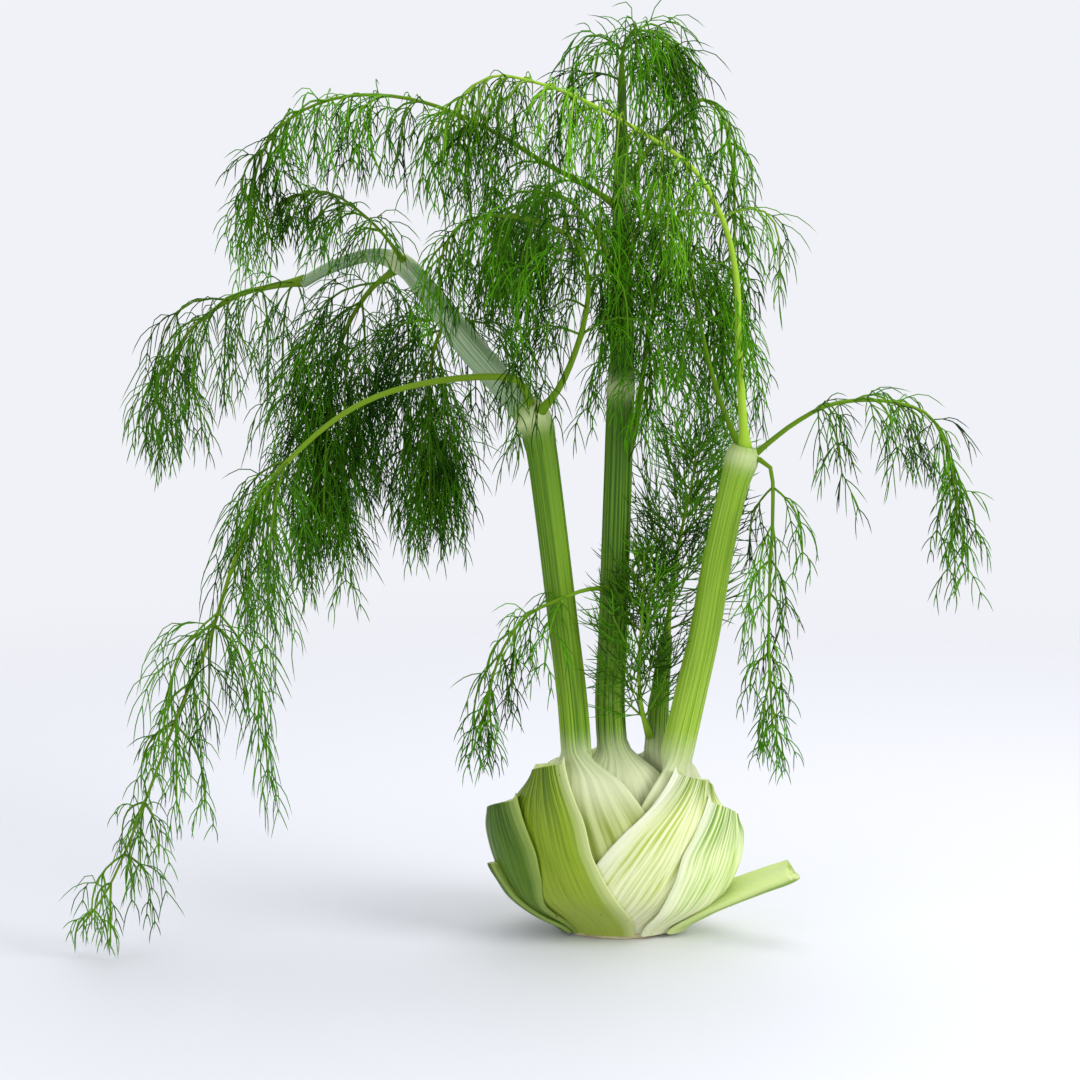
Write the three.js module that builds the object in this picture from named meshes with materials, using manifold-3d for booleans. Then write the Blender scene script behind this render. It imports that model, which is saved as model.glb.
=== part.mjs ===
// A fennel bulb standing on its trimmed root plate: wrapped leaf bases with their cut stubs, four stalks
// and the feathery fronds that arch and hang from them.
// Millimetres, +Z up, +X to the viewer's right and -Y towards the viewer. The origin is the middle of the
// flat cut under the root plate.
import * as THREE from "three";
import Module from "manifold-3d";

const wasm = await Module();
wasm.setup();

// Driving dimensions
const BULB_FLATNESS = 0.78;
const PLATE_RADIUS = 23;
const PLATE_HEIGHT = 24;
const LAYER_GAP = 0.35;
const MARGIN_THICKNESS = 1.4;
const CLOSING_START = 0.84;
const CLOSING_TURN = 84;
const CLOSING_SHARE = 0.9;
const STEPS_ACROSS = 8;
const STEPS_ALONG = 7;
const STALK_SIDES = 8;
const MIDRIB_STEP = 17;
const NEEDLE_RADIUS = 0.36;
const TWIG_GAP = 0.45;
const OWN_TWIG_GAP = 0.2;
const SHORTEST_EDGE = 0.03;

// Leaf bases, from the innermost out. Each list runs from the foot to the cut: the midrib's azimuth in
// degrees (270 faces the viewer, 0 is +X), the outer face's distance from the bulb's axis, the half-widths
// in degrees on either side of the midrib and the thickness at the midrib. Bulge rounds the outer face out
// towards the cut, tuck draws a margin in, curl bends it up into a channel, and slant and rake tilt the
// cut across the leaf and through it. The inner ones close into a tube round their stalk at the top.
const INNER_BASES = {
  stalk_young: {
    foot: 6,
    top: 80,
    rib: [80, 75, 60, 40, 20],
    girth: [12, 27, 32, 28, 19],
    left: [120, 110, 95, 80, 40],
    right: [120, 110, 95, 80, 40],
    thick: [5, 6, 7, 8, 9],
  },
  stalk_right: {
    foot: 5,
    top: 80,
    rib: [300, 310, 322, 332, 337],
    girth: [13, 33, 38, 36, 31],
    left: [70, 62, 56, 46, 30],
    right: [70, 60, 52, 40, 24],
    thick: [5, 6, 7, 8, 10],
  },
  stalk_centre: {
    foot: 4,
    top: 84,
    rib: [262, 262, 264, 266, 266],
    girth: [14, 33, 37, 28, 10],
    left: [70, 66, 62, 58, 42],
    right: [74, 72, 66, 58, 46],
    thick: [5, 6, 6, 7, 9],
  },
  stalk_left: {
    foot: 3,
    top: 82,
    rib: [236, 232, 226, 218, 211],
    girth: [15, 36, 41, 36.5, 26],
    left: [66, 62, 56, 44, 24],
    right: [64, 68, 70, 62, 46],
    thick: [5, 6, 7, 8, 10],
  },
};
const OUTER_BASES = {
  leaf_base_right_front: {
    foot: 2,
    top: 69,
    rib: [285, 296, 306, 315, 323],
    girth: [22, 41.5, 47, 46, 42],
    left: [62, 56, 50, 39, 14],
    right: [70, 58, 46, 34, 15],
    thick: [5, 7, 8, 9, 9],
    bulge: 3,
    tuckLeft: 4,
    slant: -4,
    rake: 3,
  },
  leaf_base_back_right: {
    foot: 2,
    top: 64,
    rib: [55, 55, 56, 57, 58],
    girth: [22, 42, 47, 45, 40],
    left: [70, 62, 52, 36, 15],
    right: [70, 62, 52, 38, 20],
    thick: [5, 7, 8, 9, 9],
    bulge: 3,
    tuckLeft: 3,
    tuckRight: 3,
    slant: 3,
    rake: 0,
  },
  leaf_base_left_front: {
    foot: 2,
    top: 74.5,
    rib: [236, 232, 227, 221, 217],
    girth: [24.5, 44.5, 48, 46, 40.5],
    left: [64, 52, 46, 32, 12],
    right: [48, 36, 28, 26, 12],
    thick: [5, 7, 8, 9, 9],
    bulge: 3,
    tuckRight: 3,
    slant: 2.5,
    rake: 3,
  },
  leaf_base_back_left: {
    foot: 2,
    top: 68,
    rib: [120, 122, 124, 125, 126],
    girth: [23, 44, 50, 48, 42],
    left: [74, 66, 54, 38, 24],
    right: [74, 64, 52, 36, 15],
    thick: [5, 7, 8, 9, 9],
    bulge: 3,
    tuckLeft: 3,
    tuckRight: 3,
    slant: -3,
    rake: 3,
  },
  leaf_base_right: {
    foot: 1.5,
    top: 56,
    rib: [318, 320, 324, 328, 333],
    girth: [25, 43.5, 51, 52.5, 51],
    left: [26, 27, 26, 25, 12],
    right: [44, 48, 44, 34, 14],
    thick: [4, 6, 8, 9, 9],
    bulge: 2.5,
    tuckLeft: 2,
    slant: -5,
    rake: 3,
  },
  leaf_base_left: {
    foot: 1.5,
    top: 57,
    rib: [200, 200, 199, 198, 197],
    girth: [25, 44, 52, 55, 55],
    left: [54, 48, 42, 34, 13],
    right: [23, 23, 27, 26, 13],
    thick: [4, 6, 8, 9, 9],
    bulge: 2.5,
    tuckLeft: 3,
    tuckRight: 3,
    slant: 4,
    rake: 3,
  },
  leaf_base_right_low: {
    foot: 1.5,
    top: 27,
    rib: [338, 340, 342, 344, 346],
    girth: [30, 39, 51, 64, 77],
    left: [22, 17, 12, 8, 6],
    right: [30, 28, 22, 13, 6],
    thick: [3, 4.5, 5, 5.5, 6],
    bulge: 1.5,
    curlLeft: 1,
    curlRight: 6,
  },
  leaf_base_left_low: {
    foot: 1.5,
    top: 31,
    rib: [196, 195, 194, 193, 192],
    girth: [27, 39, 48, 53, 57],
    left: [20, 18, 15, 10, 6],
    right: [22, 17, 12, 8, 6],
    thick: [3, 4, 5, 5.5, 6],
    curlLeft: 2,
    slant: 1,
  },
};

// Stalk routes, as [x, y, z, radius]. The wider points are the joints where fronds leave.
const STALK_ROUTES = {
  stalk_young: [
    [15, 4, 58, 4.8],
    [16, 4, 76, 5.2],
    [17, 6, 96, 4.2],
    [19, 9, 115, 3.2],
    [20, 9, 126, 2.6],
  ],
  stalk_right: [
    [22, -8, 58, 6.6],
    [23, -9, 73, 6.9],
    [29, -11, 102, 6.6],
    [35, -12, 130, 6.3],
    [40, -13, 161, 6.0],
    [46, -14, 190, 5.8],
    [49.5, -14, 203, 6.7],
    [51, -14, 209, 5.2],
  ],
  stalk_centre: [
    [-3, 0, 60, 6.0],
    [-3, 0, 78, 6.3],
    [-4, 0, 100, 6.2],
    [-3, 0, 125, 6.0],
    [-2, 0, 159, 5.9],
    [-1, 1, 193, 5.8],
    [0, 2, 227, 5.6],
    [1, 2, 256, 4.4],
    [0, 2, 285, 3.8],
    [0, 1, 318, 3.2],
    [0, 0, 342, 2.2],
    [0, -1, 358, 1.6],
  ],
  stalk_left: [
    [-18, -9, 58, 6.0],
    [-18, -9, 73, 6.3],
    [-20, -9, 101, 6.2],
    [-24, -9, 135, 6.1],
    [-29, -8, 177, 6.1],
    [-33, -7, 207, 6.3],
    [-36, -6, 219, 7.0],
    [-45, -2, 229, 5.6],
    [-63, 6, 249, 5.8],
    [-80, 14, 270, 4.8],
    [-91, 20, 282, 4.3],
    [-105, 25, 286, 2.9],
    [-122, 30, 281, 2.5],
    [-135, 34, 274, 2.2],
  ],
};

// Fronds. Each has the stalk that it leaves, its midrib's route, the midrib's radius at both ends, the
// number of joints with a pair of side leaflets, the longest leaflet, how much they droop (1 hangs
// straight down) and the needles on each leaflet. Where the joints are a list, each has its share of the
// way along the midrib and its leaflets' length.
const FRONDS = [
  {
    name: "frond_left_long",
    from: "stalk_left",
    route: [
      [-37, -7, 222],
      [-41, -14, 235],
      [-50, -18, 238],
      [-66, -24, 238],
      [-82, -29, 236],
      [-98, -34, 232],
      [-114, -38, 224],
      [-130, -42, 211],
      [-144, -45, 195],
      [-156, -47, 168],
      [-168, -48, 132],
      [-179, -47, 107],
      [-189, -45, 82],
      [-200, -43, 54],
      [-212, -42, 28],
      [-226, -41, 9],
    ],
    thick: [2.1, 0.7],
    joints: [
      [0.36, 104],
      [0.36, 80],
      [0.56, 76],
      [0.56, 58],
      [0.7, 50],
      [0.8, 40],
      [0.88, 32],
      [0.95, 26],
    ],
    droop: 0.85,
    needles: 3,
  },
  {
    name: "frond_left_back",
    from: "stalk_left",
    route: [
      [-134, 34, 275],
      [-150, 39, 272],
      [-164, 43, 268],
      [-182, 47, 256],
      [-193, 49, 241],
      [-197, 50, 226],
      [-198, 50, 212],
    ],
    thick: [2.0, 0.7],
    joints: 6,
    firstJoint: 0.03,
    leaflet: 84,
    droop: 0.95,
    needles: 4,
  },
  {
    name: "frond_left_behind",
    from: "stalk_left",
    route: [
      [-93, 22, 281],
      [-107, 35, 270],
      [-119, 42, 249],
      [-126, 44, 218],
      [-127, 44, 176],
    ],
    thick: [1.8, 0.7],
    joints: 5,
    firstJoint: 0.12,
    leaflet: 78,
    droop: 0.82,
    needles: 4,
  },
  {
    name: "frond_left_knee",
    from: "stalk_left",
    route: [
      [-66, 8, 252],
      [-72, 26, 258],
      [-79, 40, 246],
      [-82, 48, 222],
      [-80, 50, 190],
    ],
    thick: [1.7, 0.7],
    joints: 5,
    firstJoint: 0.2,
    leaflet: 70,
    droop: 0.85,
    needles: 4,
  },
  {
    name: "frond_left_rising",
    from: "stalk_left",
    route: [
      [-91, 17, 284],
      [-99, 4, 296],
      [-108, -2, 305],
      [-118, -4, 312],
      [-128, -4, 313],
      [-139, -3, 309],
    ],
    thick: [1.1, 0.6],
    joints: 4,
    firstJoint: 0.3,
    leaflet: 34,
    droop: 0.7,
    needles: 3,
  },
  {
    name: "frond_centre_left",
    from: "stalk_left",
    route: [
      [-35, -8, 221],
      [-25, -20, 235],
      [-17, -27, 256],
      [-14, -31, 275],
      [-17, -33, 290],
      [-25, -35, 298],
      [-36, -36, 302],
      [-48, -36, 304],
      [-60, -35, 303],
      [-70, -34, 295],
      [-76, -33, 278],
    ],
    thick: [2.2, 0.7],
    joints: 7,
    firstJoint: 0.28,
    leaflet: 60,
    droop: 0.9,
    needles: 3,
  },
  {
    name: "frond_low_left",
    from: "stalk_centre",
    route: [
      [-3, -3, 148],
      [-14, -19, 150],
      [-25, -25, 147],
      [-38, -27, 141],
      [-47, -27, 130],
      [-53, -26, 115],
      [-58, -25, 92],
    ],
    thick: [1.4, 0.7],
    joints: 4,
    firstJoint: 0.3,
    leaflet: 40,
    droop: 0.85,
    needles: 3,
  },
  {
    name: "frond_top_left",
    from: "stalk_centre",
    route: [
      [0, 0, 306],
      [-15, -12, 316],
      [-32, -18, 325],
      [-48, -22, 335],
      [-66, -25, 344],
      [-84, -27, 350],
      [-102, -27, 352],
      [-118, -26, 350],
      [-132, -24, 344],
      [-143, -23, 334],
      [-149, -22, 318],
      [-149, -21, 300],
    ],
    thick: [1.8, 0.7],
    joints: 8,
    firstJoint: 0.12,
    leaflet: 52,
    droop: 0.92,
    needles: 3,
  },
  {
    name: "frond_top",
    from: "stalk_centre",
    route: [
      [0, -1, 356],
      [0, -2, 368],
      [3, -4, 377],
      [12, -7, 378],
      [22, -9, 370],
    ],
    thick: [1.4, 0.7],
    joints: 4,
    firstJoint: 0.05,
    leaflet: 56,
    droop: 0.8,
    needles: 4,
  },
  {
    name: "frond_upper_right",
    from: "stalk_centre",
    route: [
      [0, 2, 314],
      [12, 10, 331],
      [25, 14, 346],
      [36, 16, 351],
      [43, 17, 343],
      [47, 17, 324],
      [48, 16, 297],
      [48, 15, 268],
    ],
    thick: [1.8, 0.7],
    joints: 6,
    firstJoint: 0.12,
    leaflet: 50,
    droop: 0.9,
    needles: 3,
  },
  {
    name: "frond_mid_right",
    from: "stalk_centre",
    route: [
      [0, 4, 190],
      [7, 13, 215],
      [11, 18, 245],
      [17, 23, 272],
      [25, 27, 285],
      [35, 29, 281],
      [42, 29, 262],
      [45, 28, 236],
    ],
    thick: [2.2, 0.7],
    joints: 6,
    firstJoint: 0.3,
    leaflet: 58,
    droop: 0.85,
    needles: 3,
  },
  {
    name: "frond_centre_back",
    from: "stalk_centre",
    route: [
      [0, 4, 270],
      [-8, 16, 292],
      [-20, 26, 308],
      [-34, 32, 312],
      [-46, 36, 300],
      [-52, 38, 278],
    ],
    thick: [1.8, 0.7],
    joints: 5,
    firstJoint: 0.2,
    leaflet: 58,
    droop: 0.9,
    needles: 3,
  },
  {
    name: "frond_right_arch",
    from: "stalk_right",
    route: [
      [51, -15, 206],
      [49, -20, 229],
      [47, -25, 254],
      [46, -29, 276],
      [42, -32, 296],
      [35, -35, 312],
      [26, -38, 324],
      [10, -42, 335],
      [-6, -45, 344],
      [-22, -47, 352],
      [-38, -48, 357],
      [-51, -48, 359],
      [-62, -47, 353],
      [-68, -46, 341],
    ],
    thick: [2.6, 0.7],
    joints: 8,
    firstJoint: 0.36,
    leaflet: 60,
    droop: 0.88,
    needles: 3,
  },
  {
    name: "frond_right_hang",
    from: "stalk_right",
    route: [
      [51, -13, 202],
      [62, -17, 212],
      [72, -20, 220],
      [85, -22, 227],
      [101, -23, 229],
      [116, -23, 227],
      [126, -22, 222],
      [133, -21, 210],
      [137, -20, 192],
      [139, -20, 168],
    ],
    thick: [1.6, 0.7],
    joints: 5,
    firstJoint: 0.25,
    leaflet: 48,
    droop: 0.85,
    needles: 4,
  },
  {
    name: "frond_right_down",
    from: "stalk_right",
    route: [
      [52, -14, 204],
      [61, -20, 201],
      [62, -23, 180],
      [61, -24, 155],
      [61, -25, 128],
      [63, -25, 88],
    ],
    thick: [1.2, 0.7],
    joints: 6,
    firstJoint: 0.16,
    leaflet: 32,
    droop: 0.95,
    needles: 3,
  },
  {
    name: "frond_right_inner",
    from: "stalk_right",
    route: [
      [50, -12, 206],
      [42, -4, 225],
      [35, -6, 248],
      [30, -10, 272],
      [26, -13, 291],
      [19, -16, 302],
      [9, -18, 302],
      [1, -19, 290],
      [-3, -19, 268],
    ],
    thick: [1.7, 0.7],
    joints: 5,
    firstJoint: 0.3,
    leaflet: 50,
    droop: 0.85,
    needles: 3,
  },
  {
    name: "frond_young",
    from: "stalk_young",
    route: [
      [20, 9, 124],
      [23, 11, 149],
      [27, 12, 173],
      [31, 10, 193],
      [32, 6, 206],
    ],
    thick: [1.6, 0.7],
    joints: 7,
    firstJoint: 0.05,
    leaflet: 40,
    droop: 0.05,
    needles: 4,
  },
  {
    name: "frond_young_front",
    from: "stalk_young",
    route: [
      [13, 0, 84],
      [9, -4, 98],
      [8, -9, 116],
      [9, -12, 138],
      [10, -12, 158],
    ],
    thick: [1.5, 0.7],
    joints: 5,
    firstJoint: 0.12,
    leaflet: 30,
    droop: 0.0,
    needles: 4,
  },
];

// Fresh greens, from the pale root plate to the dark needles
const COLOURS = {
  plate: 0xd9d3a0,
  base: 0xc3d27a,
  stalk: 0x86a63f,
  frond: 0x2f6b1f,
};

// Random numbers from 0 to 1 that are the same each run
function seededRandom(seed) {
  let state = seed;
  return () => {
    state = (state + 0x6d2b79f5) | 0;
    let mixed = Math.imul(state ^ (state >>> 15), 1 | state);
    mixed = (mixed + Math.imul(mixed ^ (mixed >>> 7), 61 | mixed)) ^ mixed;
    return ((mixed ^ (mixed >>> 14)) >>> 0) / 4294967296;
  };
}

// A smooth value at share 0 to 1 through an evenly spaced list
function between(values, share) {
  const last = values.length - 1;
  const place = Math.min(Math.max(share, 0), 1) * last;
  const start = Math.min(Math.floor(place), last - 1);
  const f = place - start;
  const at = (i) => values[Math.min(Math.max(i, 0), last)];
  const [a, b, c, d] = [at(start - 1), at(start), at(start + 1), at(start + 2)];
  return (
    b +
    0.5 * f * (c - a + f * (2 * a - 5 * b + 4 * c - d + f * (3 * (b - c) + d - a)))
  );
}

// A closed solid through rings of points, each running counter-clockwise about the way forward. The end
// caps zigzag between the two halves of a ring, which suits round and crescent sections alike. A last
// ring of one point makes a tip.
function loft(rings) {
  const count = rings[0].length;
  const corners = new Float32Array(rings.flat().flatMap((p) => [p.x, p.y, p.z]));
  const faces = [];
  const pointed = rings.at(-1).length === 1;
  const end = (rings.length - 1) * count;
  for (let k = 0; k + 1 < rings.length; k++) {
    for (let i = 0; i < count; i++) {
      const here = k * count + i;
      const next = k * count + ((i + 1) % count);
      if (pointed && k + 2 === rings.length) {
        faces.push(here, next, end);
      } else {
        faces.push(here, next, next + count, here, next + count, here + count);
      }
    }
  }
  const cap = (a, b, c) => {
    faces.push(a, c, b);
    if (!pointed) {
      faces.push(end + a, end + b, end + c);
    }
  };
  let low = 0;
  let high = count - 1;
  while (high - low > 1) {
    cap(low, low + 1, high);
    low += 1;
    if (high - low > 1) {
      cap(low, high - 1, high);
      high -= 1;
    }
  }
  return new wasm.Manifold(
    new wasm.Mesh({
      numProp: 3,
      vertProperties: corners,
      triVerts: new Uint32Array(faces),
    }),
  );
}

// Two directions square to a route at each of its points, carried along it without twisting
function frames(points, start = null) {
  let across = start;
  return points.map((_, k) => {
    const before = points[Math.max(k - 1, 0)];
    const after = points[Math.min(k + 1, points.length - 1)];
    const ahead = after.clone().sub(before).normalize();
    if (!across) {
      const upright = Math.abs(ahead.z) > 0.9;
      across = new THREE.Vector3(upright ? 1 : 0, 0, upright ? 0 : 1);
    }
    across = across.clone().addScaledVector(ahead, -across.dot(ahead)).normalize();
    return { ahead, across, aside: ahead.clone().cross(across) };
  });
}

function around({ across, aside }, turn) {
  return across.clone().multiplyScalar(Math.cos(turn)).addScaledVector(aside, Math.sin(turn));
}

// A stem through the points, with one radius for each. A radius of 0 at the end makes a tip.
function stem(points, radii, sides) {
  const rings = frames(points).map((frame, k) => {
    if (radii[k] === 0) {
      return [points[k]];
    }
    const ring = [];
    for (let i = 0; i < sides; i++) {
      const outward = around(frame, (2 * Math.PI * i) / sides);
      ring.push(points[k].clone().addScaledVector(outward, radii[k]));
    }
    return ring;
  });
  return loft(rings);
}

// A point of a leaf base: u runs from -1 at its left margin to 1 at its right one, v from foot to cut,
// inward is 0 on the outer face and 1 on the inner one. Grow swells the whole leaf, deep fills inwards.
function leafPoint(leaf, u, v, inward, grow, deep) {
  const height = leaf.top - leaf.foot;
  const girthAt = (share) => between(leaf.girth, share);
  const girth = girthAt(v);
  const step = 0.02;
  const rise = new THREE.Vector2(girthAt(v + step) - girthAt(v - step), 2 * step * height).normalize();
  const side = u < 0 ? leaf.left : leaf.right;
  const tuck = (u < 0 ? leaf.tuckLeft : leaf.tuckRight) ?? 0;
  const curl = (u < 0 ? leaf.curlLeft : leaf.curlRight) ?? 0;
  const edge = THREE.MathUtils.smoothstep(Math.abs(u), 0.4, 1) * THREE.MathUtils.smoothstep(v, 0.15, 0.5);
  const middle = 1 - u * u;
  const bulge = (leaf.bulge ?? 0) * middle * THREE.MathUtils.smoothstep(v, 0.35, 1);
  const body = MARGIN_THICKNESS + (between(leaf.thick, v) - MARGIN_THICKNESS) * middle + bulge;
  const depth = curl * u * u - bulge + inward * (body + 2 * grow + deep) - grow;
  const reach = Math.max(girth - tuck * edge - depth * rise.y, 2);
  const flare = deep > 0 ? 5 * inward : 0;
  const spread = between(side, v) + (grow / girth) * THREE.MathUtils.RAD2DEG + flare;
  const azimuth = THREE.MathUtils.degToRad(between(leaf.rib, v) + u * spread);
  const nearCut = THREE.MathUtils.smoothstep(v, 0.75, 1);
  const tilt = (leaf.slant ?? 0) * u + (leaf.rake ?? 0) * inward;
  const z = leaf.foot + height * v + depth * rise.x + nearCut * tilt + (2 * v - 1) * grow;
  return new THREE.Vector3(
    reach * Math.cos(azimuth),
    BULB_FLATNESS * reach * Math.sin(azimuth),
    z,
  );
}

// The point of the round stalk that a sheath's point moves to where the sheath closes
function closedPoint(leaf, u, v, inward, grow) {
  const z = leaf.foot + (leaf.top - leaf.foot) * v;
  const above = Math.max(leaf.route.findIndex((point) => point[2] > z), 1);
  const [low, high] = [leaf.route[above - 1], leaf.route[above]];
  const share = THREE.MathUtils.clamp((z - low[2]) / (high[2] - low[2]), 0, 1);
  const [x, y, , radius] = low.map((value, i) => THREE.MathUtils.lerp(value, high[i], share));
  const turned = inward === 0 ? CLOSING_TURN * u : 180 - CLOSING_TURN * u;
  const azimuth = THREE.MathUtils.degToRad(leaf.rib.at(-1) + turned);
  const reach = CLOSING_SHARE * radius + grow;
  return new THREE.Vector3(x + reach * Math.cos(azimuth), y + reach * Math.sin(azimuth), z);
}

function leafBase(leaf, grow = 0, deep = 0) {
  const shares = Array.from({ length: STEPS_ALONG + 1 }, (_, k) => k / STEPS_ALONG);
  if (leaf.route) {
    shares.splice(STEPS_ALONG, 0, 1 - 0.5 / STEPS_ALONG);
  }
  const rings = shares.map((v) => {
    const closing = leaf.route ? THREE.MathUtils.smoothstep(v, CLOSING_START, 1) : 0;
    const ring = [];
    for (let i = 0; i < 2 * (STEPS_ACROSS + 1); i++) {
      const inward = i > STEPS_ACROSS ? 1 : 0;
      const step = inward ? 2 * STEPS_ACROSS + 1 - i : i;
      const u = (2 * step) / STEPS_ACROSS - 1;
      const point = leafPoint(leaf, u, v, inward, grow, deep);
      ring.push(closing ? point.lerp(closedPoint(leaf, u, v, inward, grow), closing) : point);
    }
    return ring;
  });
  return loft(rings);
}

function stalk(name, grow = 0) {
  const route = STALK_ROUTES[name];
  const points = route.map(([x, y, z]) => new THREE.Vector3(x, y, z));
  const radii = route.map((point) => point[3] + grow);
  const last = points.length - 1;
  const lastStep = points[last].clone().sub(points[last - 1]);
  points[last].addScaledVector(lastStep, grow / lastStep.length());
  return stem(points, radii, STALK_SIDES);
}

// The root plate: a flat oval cut underneath, rounding over into a low cone inside the leaves
function rootPlate(grow = 0) {
  const profile = [
    [PLATE_RADIUS - 1.5, 0],
    [PLATE_RADIUS, 1.2],
    [PLATE_RADIUS - 4, 6],
    [PLATE_RADIUS - 12, 15],
    [3, PLATE_HEIGHT],
  ];
  const sides = 20;
  const rings = profile.map(([radius, z], k) => {
    const ring = [];
    for (let i = 0; i < sides; i++) {
      const turn = (2 * Math.PI * i) / sides;
      const lift = k === 0 ? -grow : grow;
      ring.push(
        new THREE.Vector3(
          (radius + grow) * Math.cos(turn),
          BULB_FLATNESS * (radius + grow) * Math.sin(turn),
          z + lift,
        ),
      );
    }
    return ring;
  });
  return loft(rings);
}

// The largest body of a solid, with its shortest edges closed up
function oneBody(solid) {
  const bodies = solid.simplify(SHORTEST_EDGE).decompose();
  return bodies.reduce((best, body) => (body.volume() > best.volume() ? body : best));
}

const pieces = new Map();
const cleared = [rootPlate(LAYER_GAP)];
pieces.set("root_plate", { solid: rootPlate(), colour: COLOURS.plate });
const DEEP_FILL = 16;
for (const [name, base] of Object.entries(INNER_BASES)) {
  const leaf = { ...base, route: STALK_ROUTES[name] };
  const whole = leafBase(leaf).add(stalk(name));
  const clear = wasm.Manifold.union(cleared);
  pieces.set(name, { solid: oneBody(whole.subtract(clear)), colour: COLOURS.stalk });
  cleared.push(whole, leafBase(leaf, LAYER_GAP, DEEP_FILL), stalk(name, LAYER_GAP));
}
for (const [name, leaf] of Object.entries(OUTER_BASES)) {
  const clear = wasm.Manifold.union(cleared);
  const whole = leafBase(leaf);
  pieces.set(name, { solid: oneBody(whole.subtract(clear)), colour: COLOURS.base });
  cleared.push(whole, leafBase(leaf, LAYER_GAP, DEEP_FILL));
}

// Stems and twigs already placed, as round-ended rods, so that later twigs can keep clear of them
const rods = [];
let twigCount = 0;

function rodsAlong(owner, points, radii) {
  twigCount += 1;
  return points.slice(1).map((b, i) => ({
    owner,
    twig: twigCount,
    a: points[i],
    b,
    radius: Math.max(radii[i], radii[i + 1]),
  }));
}

// The shortest distance between two rods' centre lines
function rodDistance(p, q) {
  const ahead = p.b.clone().sub(p.a);
  const along = q.b.clone().sub(q.a);
  const offset = p.a.clone().sub(q.a);
  const a = ahead.lengthSq();
  const e = along.lengthSq();
  const b = ahead.dot(along);
  const c = ahead.dot(offset);
  const f = along.dot(offset);
  const clamp = THREE.MathUtils.clamp;
  const spread = a * e - b * b;
  let s = spread > 1e-9 ? clamp((b * f - c * e) / spread, 0, 1) : 0;
  const t = clamp((b * s + f) / e, 0, 1);
  s = clamp((b * t - c) / a, 0, 1);
  const near = p.a.clone().addScaledVector(ahead, s);
  return near.distanceTo(q.a.clone().addScaledVector(along, t));
}

function aboveBulb({ x, y, z }) {
  return z > 86 || Math.hypot(x, y / BULB_FLATNESS) > 60;
}

// Whether a twig's rods clear the floor, the bulb and every placed rod. Only its first rod may touch the
// host that it grows on.
function isClear(twig, host) {
  return twig.every(
    (rod, k) =>
      Math.min(rod.a.z, rod.b.z) > 1.5 &&
      aboveBulb(rod.a) &&
      aboveBulb(rod.b) &&
      rods.every((other) => {
        const gap = other.owner === rod.owner ? OWN_TWIG_GAP : TWIG_GAP;
        const rooted = other === host && k === 0;
        return rooted || rodDistance(rod, other) > rod.radius + other.radius + gap;
      }),
  );
}

// Points of a twig that sets off in one direction and bends towards straight down by the share droop
function twigPoints(start, away, length, droop, steps) {
  const down = new THREE.Vector3(0, 0, -1);
  const points = [start.clone()];
  for (let k = 1; k <= steps; k++) {
    const bend = droop * THREE.MathUtils.smoothstep((k - 0.5) / steps, -0.1, 0.75);
    const heading = away.clone().multiplyScalar(1 - bend).addScaledVector(down, bend).normalize();
    points.push(points[k - 1].clone().addScaledVector(heading, length / steps));
  }
  return points;
}

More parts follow.
